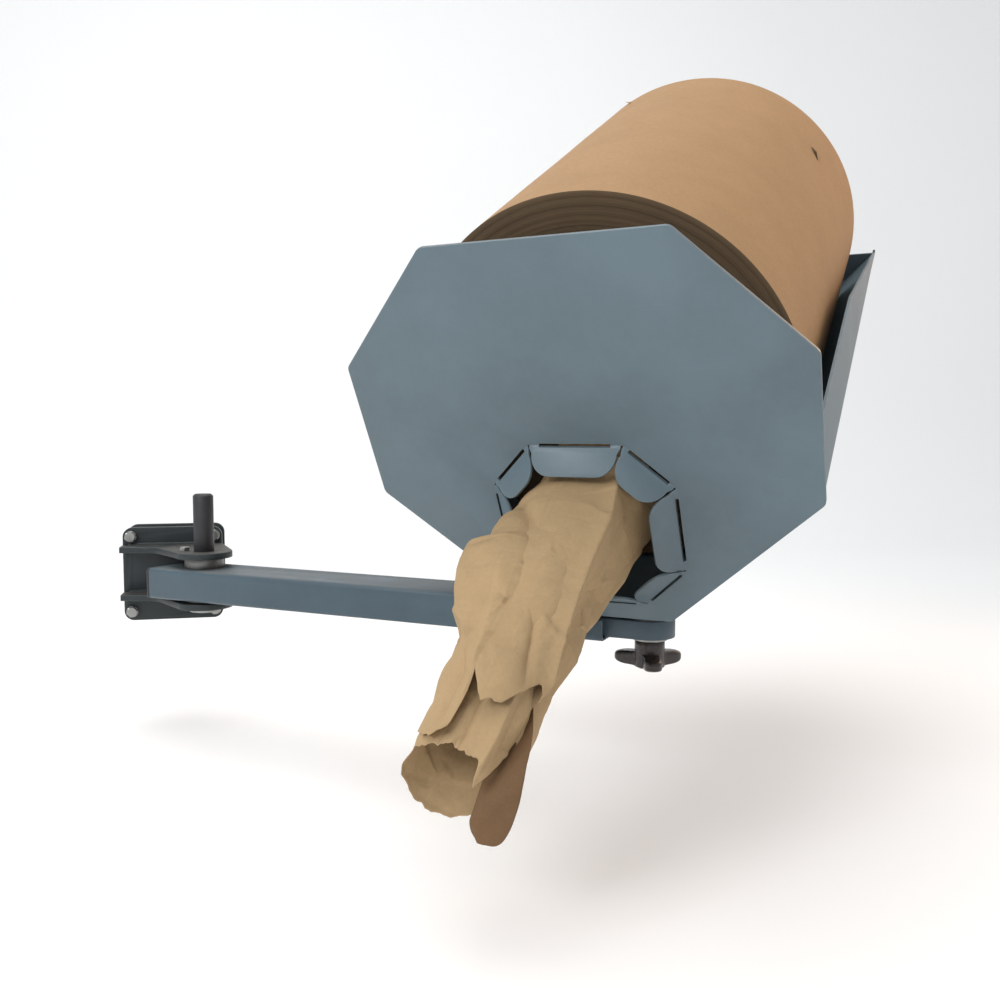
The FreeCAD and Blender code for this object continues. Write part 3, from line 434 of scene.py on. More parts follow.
# ---------------------------------------------------------------- crumpled paper
def facets(x, y, width, height, size, seed, wrap=True):
    """Heights from -1 to 1 at points of a sheet that is crumpled into flat facets about size across."""
    rng = random.Random(seed)
    spots, lifts = [], []
    for spot in range(round(width * height * 1.5 / size ** 2)):
        spot_x, spot_y = rng.uniform(0, width), rng.uniform(-0.25, 1.25) * height
        lift = rng.uniform(-1, 1)
        for shift in ((-width, 0, width) if wrap else (0,)):
            spots.append((spot_x + shift, spot_y))
            lifts.append(lift)
    made = delaunay_2d_cdt([Vector(spot) for spot in spots], [], [], 0, 1e-6)
    corners = np.array([tuple(vertex) for vertex in made[0]])
    origin = [group[0] if group else 0 for group in made[3]]
    lifts = np.array([lifts[index] for index in origin])
    result = np.zeros_like(x)
    for a, b, c in made[2]:
        pa, pb, pc = corners[a], corners[b], corners[c]
        area = (pb[0] - pa[0]) * (pc[1] - pa[1]) - (pb[1] - pa[1]) * (pc[0] - pa[0])
        if abs(area) < 1e-12:
            continue
        near = (x >= min(pa[0], pb[0], pc[0])) & (x <= max(pa[0], pb[0], pc[0]))
        near &= (y >= min(pa[1], pb[1], pc[1])) & (y <= max(pa[1], pb[1], pc[1]))
        px, py = x[near], y[near]
        wb = ((px - pa[0]) * (pc[1] - pa[1]) - (py - pa[1]) * (pc[0] - pa[0])) / area
        wc = ((pb[0] - pa[0]) * (py - pa[1]) - (pb[1] - pa[1]) * (px - pa[0])) / area
        inside = (wb >= -1e-6) & (wc >= -1e-6) & (wb + wc <= 1 + 1e-6)
        values = result[near]
        values[inside] = (lifts[a] * (1 - wb - wc) + lifts[b] * wb + lifts[c] * wc)[inside]
        result[near] = values
    return result


def ragged(angle, seed, size=0.02):
    """Uneven small teeth along a torn edge."""
    value = 0
    for turns, share in ((5, 0.5), (11, 0.45), (29, 0.3), (67, 0.16)):
        phase = noise.noise(Vector((seed * 7.3 + turns, 0.5, angle * turns / 6.3)))
        value += phase * share
    return value * size * 2


def bell(distance, width):
    """1 in the middle, falling smoothly to 0 over about twice the width."""
    return np.exp(-((distance / width) ** 2))


# The angle, in degrees, over which the tip of a fold is rounded.
FOLD_ROUND = 1.6


def crease(s, turn, depth, width, knots):
    """A sharp ridge (or, with a negative depth, a valley) along a line of (s, degrees) knots."""
    knots = np.array(knots, float)
    line = np.interp(s, knots[:, 0], knots[:, 1])
    share = np.interp(s, [knots[0, 0], knots[0, 0] + 0.06, knots[-1, 0] - 0.06, knots[-1, 0]], [0, 1, 1, 0])
    distance = np.hypot((turn - line + 180) % 360 - 180, FOLD_ROUND)
    return depth * share * np.exp(-distance / width)


# The paper's line from behind the outlet: right, out and down from its centre, and half width and height.
TAIL_KNOTS = (
    (0, -26.4, -14.3, 46, 46),
    (0, 17.6, 9.5, 46.5, 46),
    (-1, 72, 40, 45, 41),
    (-3, 116, 70, 41, 34),
    (-6, 155, 101, 38, 30),
    (-14, 186, 131, 34, 27),
    (-22, 207, 156, 31, 26),
)
# How far along the layers' scale, s, the last knot of a line stands.
LINE_END = 1.13
MEAN_GIRTH = 250 * MM
TAIL_RUN = 290 * MM
TAIL_GRID = (230, 240)
TAIL_SHARP = 17
PAPER_THICK = 0.35 * MM
# The sizes of the crumpled paper's facets and how far they stand out, in millimetres.
CRUMPLE = ((44, 4.2), (18, 1.7), (8, 0.5))
# The exponent of the layers' section: 2 is an ellipse, and more is boxier.
BOXINESS = 2.3


def paper_layer(knots, place, ends, turns_from, turns_to, grid, swell, seed, closed, shape, run):
    """A crumpled layer round a line of knots: a grid from the first one to an end that changes round it.

    The knots hold a place and the half width and height in millimetres, and s is LINE_END at the last one.
    """
    rows, columns = grid
    line = smooth_line(knots, 400)
    centres = np.array([place(*(row[:3] * MM)) for row in line])
    widths, heights = line[:, 3] * MM, line[:, 4] * MM
    steps = np.concatenate([[0], np.cumsum(np.linalg.norm(np.diff(centres, axis=0), axis=1))])
    along = steps / steps[-1] * LINE_END
    turns = np.linspace(turns_from, turns_to, columns + 1 if closed else columns)
    if closed:
        turns = turns[:-1]
    end = np.array([ends(turn) for turn in turns])
    share = np.linspace(0, 1, rows)[:, None]
    s = share * end[None, :]
    turn = np.broadcast_to(turns[None, :], s.shape)

    def line_at(where):
        return np.stack([np.interp(where, along, centres[:, axis]) for axis in range(3)], -1)

    centre = line_at(s)
    tangent = line_at(s + 0.02) - line_at(s - 0.02)
    tangent /= np.linalg.norm(tangent, axis=-1, keepdims=True)
    right = np.array(ACROSS) - tangent * (tangent @ np.array(ACROSS))[..., None]
    right /= np.linalg.norm(right, axis=-1, keepdims=True)
    top = np.cross(tangent, right)
    width, height = np.interp(s, along, widths), np.interp(s, along, heights)
    angle = np.radians(turn)
    reach = (np.abs(np.cos(angle) / width) ** BOXINESS + np.abs(np.sin(angle) / height) ** BOXINESS)
    reach = reach ** (-1 / BOXINESS)
    x = (turn % 360) / 360 * MEAN_GIRTH
    y = s * run
    rough = np.interp(s, [0, 0.15, 0.5, 1], [0.1, 0.35, 0.85, 1.15])
    bumps = np.zeros_like(s)
    for number, (size, height_of_folds) in enumerate(CRUMPLE):
        bumps += facets(x, y, MEAN_GIRTH, run * 1.2, size * MM, seed + number) * height_of_folds * MM
    reach = reach * swell + bumps * rough + shape(s, turn) * MM
    points = centre + (right * np.cos(angle)[..., None] + top * np.sin(angle)[..., None]) * reach[..., None]
    return points.reshape(-1, 3), grid_faces(rows, len(turns), closed)


# The over-layer's two edges, in degrees round the tail from its right side.
OVER_LAYER_TURNS = (-40, 235)
# A crease's depth in millimetres, its width in degrees, and its line of (s, degrees) knots.
OVER_LAYER_CREASES = (
    (10.5, 9, [(0.05, 62), (0.25, 48), (0.41, 43), (0.58, 34), (0.68, 24), (0.8, 10)]),
    (-5, 12, [(0.1, 32), (0.4, 20), (0.8, -4)]),
    (-8.5, 8, [(0.16, 150), (0.3, 122), (0.43, 94), (0.52, 76), (0.63, 42)]),
    (6.5, 8, [(0.37, 148), (0.46, 150), (0.56, 148), (0.66, 138)]),
    (3.5, 9, [(0.46, 116), (0.7, 106), (0.86, 90)]),
    (-5, 6, [(0.52, 76), (0.66, 60), (0.80, 44)]),
    (5.5, 8, [(0.56, 168), (0.64, 146), (0.72, 124), (0.80, 112)]),
    (-4.5, 8, [(0.62, 130), (0.8, 120), (0.97, 132)]),
)
UNDER_LAYER_CREASES = (
    (-4, 12, [(0.1, 200), (0.5, 215), (0.9, 232)]),
    (5, 10, [(0.05, 330), (0.6, 318), (1.0, 300)]),
    (4, 10, [(0.2, 262), (0.9, 272)]),
    (6, 9, [(0.7, 52), (1.0, 40)]),
    (-4, 8, [(0.72, 96), (0.98, 84)]),
)
FEED_CREASES = (
    (5, 12, [(0.05, 60), (0.6, 75), (1.1, 40)]),
    (-4, 12, [(0.05, 140), (0.6, 120), (1.1, 150)]),
    (4, 12, [(0.05, 230), (1.1, 250)]),
    (-4, 12, [(0.05, 330), (1.1, 310)]),
)


def over_layer_ends(turn):
    """Where the over-layer is torn off: short in the middle, with a flap left on the left side."""
    knots = [(-40, 0.66), (-10, 0.76), (10, 0.79), (30, 0.775), (42, 0.80), (55, 0.83), (80, 0.855),
             (97, 0.80), (103, 0.94), (120, 0.975), (165, 0.95), (190, 0.88), (235, 0.78)]
    return float(np.interp(turn, *zip(*knots))) + ragged(math.radians(turn), 3, 0.016)


def right_side_draw(s):
    """How far the paper's right side is drawn in, where it hangs straight from the outlet."""
    return np.interp(s, [0.04, 0.15, 0.32, 0.45, 0.6, 0.75, 0.9], [1, 10, 18, 20, 17, 13, 9])


def over_layer_shape(s, turn):
    """How far the over-layer stands out, in millimetres: left ledge, drawn-in right side and creases."""
    bulge = np.interp(
        s, [0.1, 0.16, 0.24, 0.37, 0.395, 0.44, 0.52, 0.62, 0.74], [0, 8, 17, 15, 28, 26, 17, 6, 0]
    )
    lift = bulge * bell(turn - 175, 44)
    lift -= right_side_draw(s) * bell(turn + 5, 42)
    for fold in OVER_LAYER_CREASES:
        lift += crease(s, turn, *fold)
    lift -= 8 * bell(s - 0.68, 0.05) * bell(turn - 158, 18)
    lift += 3 * np.interp(s, [0.7, 0.85], [0, 1]) * bell(turn - 78, 40)
    edge = np.minimum(*(np.abs(turn - side) for side in OVER_LAYER_TURNS))
    return lift - 3.5 * np.exp(-edge / 14)


def under_layer_ends(turn):
    """Where the inner tube is torn off: a lip at the upper right over an open mouth."""
    knots = [(0, 0.875), (14, 0.945), (25, 0.98), (35, 1.01), (47, 0.96), (90, 0.95), (150, 0.99),
             (180, 1.03), (225, 1.085), (255, 1.06), (280, 1.03), (300, 0.99), (330, 0.90), (360, 0.865)]
    return float(np.interp(turn, *zip(*knots))) + ragged(math.radians(turn), 8, 0.014)


def under_layer_shape(s, turn):
    """How far the inner tube stands out, in millimetres."""
    lift = -4.5 * bell((turn - 80), 60) * np.interp(s, [0.6, 0.8], [0, 1])
    lift -= (right_side_draw(s) + 1.5) * (bell(turn + 5, 42) + bell(turn - 355, 42))
    for fold in UNDER_LAYER_CREASES:
        lift += crease(s, turn, *fold)
    lift += 5 * np.interp(s, [0.93, 1.06], [0, 1]) * bell(turn - 200, 60)
    return lift + 4 * np.interp(s, [0.97, 1.06], [0, 1]) * bell(turn - 260, 40)


# The bend between neighbouring points that counts as a full fold, with the full painted crease shade.
FULL_FOLD = 0.55 * MM


def mark_fold_shade(item, rows_columns):
    """Store how sharply each point of the grids is folded, which the paper's finish reads to paint shade in its
    creases.
    """
    data = item.data
    count = len(data.vertices)
    place = np.zeros(count * 3)
    data.vertices.foreach_get("co", place)
    place = place.reshape(-1, 3)
    fold = np.zeros(count)
    first = 0
    for rows, columns in rows_columns:
        grid = place[first:first + rows * columns].reshape(rows, columns, 3)
        bend = np.zeros((rows, columns))
        second = grid[2:] - 2 * grid[1:-1] + grid[:-2]
        bend[1:-1] += np.linalg.norm(second, axis=-1)
        second = grid[:, 2:] - 2 * grid[:, 1:-1] + grid[:, :-2]
        bend[:, 1:-1] += np.linalg.norm(second, axis=-1)
        fold[first:first + rows * columns] = bend.reshape(-1)
        first += rows * columns
    fold = np.clip(fold / FULL_FOLD, 0, 1)
    layer = data.attributes.new("fold", "FLOAT", "POINT")
    layer.data.foreach_set("value", fold.astype(np.float32))


def thicken_paper(item):
    skin = item.modifiers.new("thickness", "SOLIDIFY")
    skin.thickness = PAPER_THICK
    skin.offset = 0


def paper_tail():
    """The pulled-out paper: an open crumpled tube under a torn over-layer that steps out at the left."""
    under = paper_layer(
        TAIL_KNOTS, level_point, under_layer_ends, 0, 360, TAIL_GRID,
        swell=0.93, seed=11, closed=True, shape=under_layer_shape, run=TAIL_RUN,
    )
    over = paper_layer(
        TAIL_KNOTS, level_point, over_layer_ends, *OVER_LAYER_TURNS, TAIL_GRID,
        swell=1.0, seed=23, closed=False, shape=over_layer_shape, run=TAIL_RUN,
    )
    tail = join_meshes("kraft_tail", [under, over], FINISH["kraft"])
    mark_sharp(tail, TAIL_SHARP)
    mark_fold_shade(tail, [TAIL_GRID, TAIL_GRID])
    thicken_paper(tail)
    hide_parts("paper_tail")
    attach(tail, "tail")


# The gathered paper's line behind the outlet, from inside the roll's bore: right, rearward and up from
# the roll axis's place on the front plate, and half width and height.
FEED_KNOTS = (
    (0, 118, 0, 28, 27),
    (0, 84, -1, 29, 26),
    (1, 62, -14, 31, 22),
    (-1, 53, -38, 32, 20),
    (0, 47, -60, 36, 24),
    (0, 38, -74, 40, 34),
    (0, 33, -78, 42, 40),
)
FEED_RUN = 150 * MM
FEED_GRID = (120, 150)


def paper_feed():
    """Paper drawn out of the roll's bore and down to the outlet."""

    def ends(turn):
        return LINE_END * 0.97 + ragged(math.radians(turn), 5, 0.012)

    def shape(s, turn):
        return sum(crease(s, turn, *fold) for fold in FEED_CREASES)

    layer = paper_layer(
        FEED_KNOTS, head_point, ends, 0, 360, FEED_GRID,
        swell=0.95, seed=41, closed=True, shape=shape, run=FEED_RUN,
    )
    feed = join_meshes("kraft_feed", [layer], FINISH["kraft"])
    mark_fold_shade(feed, [FEED_GRID])
    thicken_paper(feed)
    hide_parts("paper_feed")
    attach(feed, "roll")


# ---------------------------------------------------------------- the roll
ROLL_TURNS = 240
END_LAYERS = 110
WRAP_STEP = 0.6 * MM
WRAP_EDGE = math.radians(200)
BORE_STEPS = 24
SKIN_STEPS = 60


def roll_profile():
    """The roll's section: from the bore's rear edge forwards, out over the front end, back and in.

    Also gives the number of rings in the bore, after which the front end starts.
    """
    rear = ROLL_START + ROLL_LENGTH
    wall = ROLL_RADIUS - BORE_RADIUS
    random_layers = random.Random(12)
    face = []
    for layer in range(END_LAYERS + 1):
        radius = BORE_RADIUS + wall * layer / END_LAYERS
        slow = noise.noise(Vector((radius * 60, 0.3, 0.7)))
        fast = random_layers.uniform(0, 1)
        sunk = (0.9 + 0.7 * slow + 0.45 * fast) * MM
        near_rim = min(radius - BORE_RADIUS, ROLL_RADIUS - radius)
        if near_rim < 0.6 * MM:
            sunk += 0.5 * MM
        face.append((radius, max(sunk, 0.1 * MM)))
    bore = [
        (BORE_RADIUS, ROLL_START + ROLL_LENGTH * step / BORE_STEPS) for step in range(BORE_STEPS - 1, 0, -1)
    ]
    skin = [(ROLL_RADIUS, ROLL_START + ROLL_LENGTH * step / SKIN_STEPS) for step in range(1, SKIN_STEPS)]
    front = [(radius, ROLL_START + sunk) for radius, sunk in face]
    back = [(radius, rear - sunk) for radius, sunk in reversed(face)]
    return bore + front + skin + back, len(bore)


# Small tears in the outer wrap: degrees up from the right, distance behind the plate, length and height.
ROLL_TEARS = ((32, 370, 15, 12), (111, 424, 9, 7))
TEAR_STEPS = 10


def roll_tear(turn, rear, length, tall, lifted):
    """A three-cornered flap of the wrap, curled up, or the dark patch under it that paints the flap's shadow."""
    points = []
    for row in range(TEAR_STEPS + 1):
        share = row / TEAR_STEPS
        for column in range(TEAR_STEPS + 1):
            along = (column / TEAR_STEPS - 0.5) * length * (1 - share) + share * length * 0.3
            lift = 0.2 + (3.2 * share ** 1.6 + 0.25 if lifted else 0)
            angle = math.radians(turn) + share * tall * MM * (0.8 if lifted else 1) / ROLL_RADIUS
            out = ACROSS * math.cos(angle) + PLATE_UP * math.sin(angle)
            points.append(HEAD + REARWARD * (rear + along) * MM + out * (ROLL_RADIUS + lift * MM))
    return points, grid_faces(TEAR_STEPS + 1, TEAR_STEPS + 1, False)


def paper_roll():
    """The wound roll: spiral outer wrap with its edge, layered ends in painted shade, the bore and two small
    tears.
    """
    rings, bore_rings = roll_profile()

    def spiral(radius, height, angle):
        share = ((angle - WRAP_EDGE) % (2 * math.pi)) / (2 * math.pi)
        drift = noise.noise(Vector((height * 6, math.cos(angle) * 1.3, math.sin(angle) * 1.3))) * 0.5 * MM
        if radius > ROLL_RADIUS - 0.1 * MM:
            return radius - WRAP_STEP * share - abs(drift)
        if radius < BORE_RADIUS + 0.1 * MM:
            return radius + 0.8 * MM * share + abs(drift) * 1.5
        return radius

    points, faces = lathe(rings, ROLL_TURNS, HEAD, REARWARD, spiral)
    radii = [radius for radius, height in rings for step in range(ROLL_TURNS)]
    first = (len(rings) - 1) * ROLL_TURNS
    for step in range(ROLL_TURNS):
        beside = (step + 1) % ROLL_TURNS
        faces.append((first + step, first + beside, beside, step))
    for turn, rear, length, tall in ROLL_TEARS:
        for lifted in (False, True):
            torn, torn_faces = roll_tear(turn, rear, length, tall, lifted)
            faces += [tuple(corner + len(points) for corner in face) for face in torn_faces]
            radii += [ROLL_RADIUS] * len(torn)
            points = points + torn
    roll = mesh_object("kraft_roll", points, faces, ROLL_SKIN)
    roll.data.materials.append(ROLL_END_SHADED)
    layer = roll.data.attributes.new("layer", "FLOAT", "POINT")
    layer.data.foreach_set("value", radii)
    front = range(bore_rings, bore_rings + END_LAYERS)
    back = range(len(rings) - END_LAYERS - 1, len(rings) - 1)
    for ring in [*front, *back]:
        for step in range(ROLL_TURNS):
            roll.data.polygons[ring * ROLL_TURNS + step].material_index = 1
    shadow_patch_faces = TEAR_STEPS ** 2
    # Each tear's first patch, under its flap, gets the dark end finish as the flap's painted shadow.
    for tear in range(len(ROLL_TEARS)):
        begin = len(rings) * ROLL_TURNS + tear * 2 * shadow_patch_faces
        for index in range(begin, begin + shadow_patch_faces):
            roll.data.polygons[index].material_index = 1
    mark_sharp(roll, 40)
    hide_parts("paper_roll")
    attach(roll, "roll")


# The loose strip's centre line from the outlet's centre in the level frame, and its half width.
STRIP_KNOTS = (
    (2, 136, 96, 11),
    (9, 160, 109, 13),
    (12, 177, 122, 13),
    (13, 187, 132, 12.5),
    (12, 192, 142, 12),
    (9, 195, 152, 11.5),
    (3, 196, 162, 10.5),
)
STRIP_GRID = (90, 30)
# The share of the strip's length at which its tip starts to round off.
STRIP_TIP = 0.86


def paper_strip():
    """The loose end strip beside the tail's mouth: a curled band with a round tip, in a darker kraft that paints
    its shade.
    """
    rows, columns = STRIP_GRID
    line = smooth_line(STRIP_KNOTS, rows)
    points = []
    for index, (side, out, down, half) in enumerate(line):
        share = index / (rows - 1)
        tip = math.sqrt(max(0.0, 1 - max(0.0, (share - STRIP_TIP) / (1 - STRIP_TIP)) ** 2))
        ahead = line[min(index + 1, rows - 1)] - line[max(index - 1, 0)]
        run = Vector((ahead[0], ahead[2]))
        run.normalize()
        for column in range(columns):
            across = -1 + 2 * column / (columns - 1)
            reach = half * max(tip, 0.02) * across
            curl = 3.2 * (across ** 2) + 1.2 * math.sin(share * 9 + across * 2) + 1.5 * share * across
            wander = 0.8 * noise.noise(Vector((share * 9, across * 1.5, 4.2)))
            shift = side + run.y * reach, out - curl + wander, down - run.x * reach
            points.append(level_point(*(part * MM for part in shift)))
    strip = mesh_object("kraft_strip", points, grid_faces(rows, columns, False), STRIP_SHADED_SKIN)
    mark_fold_shade(strip, [STRIP_GRID])
    thicken_paper(strip)
    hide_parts("paper_strip")
    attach(strip, "tail")


# ---------------------------------------------------------------- knob
KNOB_HUB = 12 * MM
LOBE_REACH = 30 * MM
LOBE_ROUND = 7 * MM
LOBE_DROP = 10.5 * MM
LOBE_TALL = 11 * MM
INSERT_RADIUS = 8.5 * MM
INSERT_DEPTH = 14 * MM
LOBE_RINGS = 32
KNOB_TURNS = 144
# The exponent that rounds a lobe from its middle to its upper and lower faces.
LOBE_SOFTNESS = 3.2


def lobe_angle():
    """The direction of one lobe, from the knob's farthest point."""
    node = frame["nodes"]["knob_grip"]
    far, angle = 0, 0
    for vertex in node.data.vertices:
        place = node.matrix_world @ vertex.co - PIVOT
        if place.xy.length > far:
            far, angle = place.xy.length, math.atan2(place.y, place.x)
    return angle


def lobe_outline(angle):
    """The knob's outline as a distance from its axis: three round-ended lobes on a hub."""
    turn = (angle + math.pi / 3) % (2 * math.pi / 3) - math.pi / 3
    centre = LOBE_REACH - LOBE_ROUND
    aside = abs(math.sin(turn))
    reach = LOBE_REACH
    if centre * aside < LOBE_ROUND:
        reach = centre * math.cos(turn) + math.sqrt(LOBE_ROUND ** 2 - (centre * aside) ** 2)
    if aside > 1e-6:
        flank = LOBE_ROUND / aside
        if flank * math.cos(turn) < centre:
            reach = flank
    return reach


def knob():
    """The three-lobe knob, with a hollow for its insert and a rounded underside."""
    low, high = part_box("knob_grip")
    start = lobe_angle()
    place = Vector((PIVOT.x, PIVOT.y, high.z))
    lobe_middle = -(LOBE_DROP + LOBE_TALL / 2)
    tall = high.z - low.z
    profile = [(0.4 * MM, -INSERT_DEPTH), (INSERT_RADIUS, -INSERT_DEPTH), (INSERT_RADIUS, -0.4 * MM)]
    profile += [(INSERT_RADIUS + 0.4 * MM, 0), (KNOB_HUB - 1 * MM, 0), (KNOB_HUB, -1 * MM)]
    profile += [(KNOB_HUB, -LOBE_DROP * share) for share in (0.4, 0.7, 0.9)]
    for step in range(LOBE_RINGS + 1):
        share = -1 + 2 * step / LOBE_RINGS
        profile.append((KNOB_HUB, lobe_middle - share * LOBE_TALL / 2))
    profile += [(KNOB_HUB - 0.6 * MM, -tall + 1.2 * MM), (KNOB_HUB - 2.4 * MM, -tall + 0.25 * MM)]
    profile += [(KNOB_HUB - 5 * MM, -tall + 0.1 * MM), (KNOB_HUB - 8 * MM, -tall + 0.5 * MM)]
    profile.append((0.3 * MM, -tall + 0.7 * MM))

    def reach(radius, height, angle):
        share = abs(height - lobe_middle) / (LOBE_TALL / 2)
        outline = lobe_outline(angle - start)
        if radius < KNOB_HUB or share > 1 or outline < radius:
            return radius
        round_off = (1 - share ** LOBE_SOFTNESS) ** (1 / LOBE_SOFTNESS)
        return radius + (outline - radius) * round_off

    body = capped(lathe(profile, KNOB_TURNS, place, UP, reach), KNOB_TURNS)
    grip = mesh_object("knob_three_lobe", *body, FINISH["knob_plastic"])
    mark_sharp(grip, 50)
    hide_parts("knob_grip")
    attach(grip, "knob")


# ---------------------------------------------------------------- fasteners
HEX_TURNS = 72
# The angle, in degrees, above which a fastener's edges stay sharp.
FASTENER_SHARP = 25
# The radius of the small ring that closes the middle of a solid head.
CLOSED_CORE = 0.3 * MM
THREAD_PITCH = 1 * MM
WASHER_RADIUS = 6 * MM
WASHER_THICK = 1.6 * MM
HEAD_RADIUS = 5.8 * MM
HEAD_TALL = 4 * MM
NUT_TALL = 5.2 * MM
BOLT_SPACING = (84 * MM, 79 * MM)
PLATE_THICK = 6 * MM
THREAD_LENGTH = 20 * MM


def hexagon(place, axis, corner, tall, inner=0.0, both=False):
    """A hexagon head or nut with turned-off corners, standing on its place along the axis."""
    flat = corner * math.cos(math.pi / 6)
    slant = 0.22 * corner
    core = max(inner, CLOSED_CORE)
    sizes = [(corner * 2, 0), (corner * 2, tall - slant * 0.5)]
    sizes += [(corner * 0.97, tall - slant * 0.35), (flat * 0.93, tall)]
    if both:
        sizes = [(flat * 0.93, 0), (corner * 0.97, slant * 0.35), *sizes[1:]]
    rings = [(core, 0), *sizes, (core, tall)]
    if inner:
        rings.append(rings[0])

    def reach(radius, height, angle):
        if radius <= core:
            return radius
        turn = (angle + math.pi / 6) % (math.pi / 3) - math.pi / 6
        return min(radius, flat / math.cos(turn))

    return lathe(rings, HEX_TURNS, place, axis, reach)


def washer(place, axis, inner, outer, thick):
    """A flat washer with eased edges."""
    ease = 0.3 * MM
    rings = [(inner, 0), (outer - ease, 0), (outer, ease), (outer, thick - ease), (outer - ease, thick)]
    rings += [(inner + ease, thick), (inner, thick - ease), (inner, 0)]
    return lathe(rings, 48, place, axis)


def threaded_shank(place, axis, radius, length, thread):
    """A shank with a plain neck, a helical thread over its last part and a chamfered end."""
    rings = [(radius * 0.97, 0), (radius * 0.97, length - thread)]
    count = round(thread / THREAD_PITCH * 6)
    for step in range(1, count):
        rings.append((radius, length - thread + thread * step / count))
    rings += [(radius * 0.72, length), (0.2 * MM, length)]

    def reach(full, height, angle):
        if height <= length - thread or height >= length:
            return full
        phase = (height / THREAD_PITCH - angle / (2 * math.pi)) % 1
        depth = 0.6 * MM * abs(2 * phase - 1)
        ending = max(0.0, height - (length - 1 * MM))
        return full - depth - ending

    return lathe(rings, 24, place, axis, reach)


def fastener(name, parts, node, body):
    """One plated piece from several parts, in place of a CAD node."""
    item = join_meshes(name, parts, FINISH["zinc"])
    mark_sharp(item, FASTENER_SHARP)
    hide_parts(node)
    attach(item, body)


def clamp_fasteners():
    """The four clamp bolts, each with its head, threaded shank, two washers and nut."""
    low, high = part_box("clamp_bolts")
    front, rear = Vector((0, -1, 0)), Vector((0, 1, 0))
    washer_front = low.y + HEAD_TALL
    nut_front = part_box("clamp_nuts")[1].y - NUT_TALL
    bolts, washers, nuts = [], [], []
    for side in (-0.5, 0.5):
        for level in (-0.5, 0.5):
            x, z = side * BOLT_SPACING[0], level * BOLT_SPACING[1]
            bolts.append(hexagon(Vector((x, washer_front, z)), front, HEAD_RADIUS, HEAD_TALL))
            shank = Vector((x, washer_front - 0.5 * MM, z))
            bolts.append(threaded_shank(shank, rear, BOLT_RADIUS, high.y - shank.y, THREAD_LENGTH))
            for y in (-PLATE_THICK, nut_front):
                washers.append(washer(Vector((x, y, z)), front, BOLT_RADIUS, WASHER_RADIUS, WASHER_THICK))
            place = Vector((x, nut_front, z))
            nuts.append(hexagon(place, rear, HEAD_RADIUS, NUT_TALL, BOLT_RADIUS, both=True))
    fastener("clamp_hex_bolts", bolts, "clamp_bolts", "bracket")
    fastener("clamp_round_washers", washers, "clamp_washers", "bracket")
    fastener("clamp_hex_nuts", nuts, "clamp_nuts", "bracket")


def flange_screw():
    """The screw head beside the post on the upper flange, with its shank through the flange."""
    low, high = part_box("flange_bolt")
    centre = (low + high) / 2
    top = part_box("upper_flange")[1].z
    corner = (high.y - low.y) / 2
    head = hexagon(Vector((centre.x, centre.y, top)), UP, corner, high.z - top)
    shank_top = top + 1 * MM
    shank_place = Vector((centre.x, centre.y, shank_top))
    shank = threaded_shank(shank_place, -UP, corner * 0.5, shank_top - low.z, 4 * MM)
    fastener("flange_hex_screw", [head, shank], "flange_bolt", "bracket")


def stud_hex_nut():
    """The nut on the swivel stud, inside the saddle."""
    low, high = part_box("stud_nut")
    centre = (low + high) / 2
    corner = max(high.x - low.x, high.y - low.y) / 2
    nut = hexagon(Vector((centre.x, centre.y, low.z)), UP, corner, high.z - low.z, STUD_RADIUS, both=True)
    fastener("stud_hex_nut", [nut], "stud_nut", "head")


# ---------------------------------------------------------------- welds
WELD_RADIUS = 1.9 * MM
WELD_TURNS = 14


def weld_bead(start, end, seed):
    """A rippled bead of weld along a corner."""
    start, end = Vector(start), Vector(end)
    length = (end - start).length
    rows = max(12, round(length / (0.7 * MM)))
    across, along = axes_of(end - start)
    points = []
    for row in range(rows):
        share = row / (rows - 1)
        run = share * length
        ripple = 0.16 * abs(math.sin(run / (1.9 * MM) * math.pi + seed))
        lumps = 0.18 * noise.noise(Vector((run * 160, seed, 0.4)))
        ending = min(1.0, math.sqrt(min(share, 1 - share) * length / (2.5 * MM)) + 0.05)
        reach = WELD_RADIUS * (0.92 + ripple + lumps) * ending
        for step in range(WELD_TURNS):
            angle = 2 * math.pi * step / WELD_TURNS
            side = across[0] * math.cos(angle) + across[1] * math.sin(angle)
            points.append(start + along * run + side * reach)
    return capped((points, grid_faces(rows, WELD_TURNS, True)), WELD_TURNS)


def bracket_welds():
    """Beads where the two flanges meet the bracket plate."""
    beads = []
    for seed, node in enumerate(("upper_flange", "lower_flange")):
        low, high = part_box(node)
        right = min(high.x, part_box("bracket_plate")[1].x) - 6 * MM
        for level in (low.z, high.z):
            start, end = (low.x + 5 * MM, -PLATE_THICK, level), (right, -PLATE_THICK, level)
            beads.append(weld_bead(start, end, seed + level * 90))
    item = join_meshes("bracket_weld_beads", beads, FINISH["bracket_paint"])
    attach(item, "bracket")


# ---------------------------------------------------------------- trough
PLATE_DROP = 162.4 * MM
HIP_HEIGHT = -52.5 * MM
HALF_WIDTH = 168 * MM
BOTTOM_HALF_WIDTH = 53 * MM
TROUGH_SIDE = 164 * MM
TROUGH_CONTACT = 150.3 * MM
TROUGH_FLOOR = 152 * MM
TROUGH_WALL = 2 * MM
TROUGH_START = 3 * MM
TROUGH_LENGTH = 486 * MM
RIM_HIGH = 5 * MM
BEND_RADIUS = 5 * MM
# The side wall's top edge is level over its front stretch and falls to its rear corner.
RIM_LEVEL_END = 218 * MM
RIM_LOW = -51 * MM
TROUGH_ROWS = 60
BEND_STEPS = 6
WALL_STEPS = 8


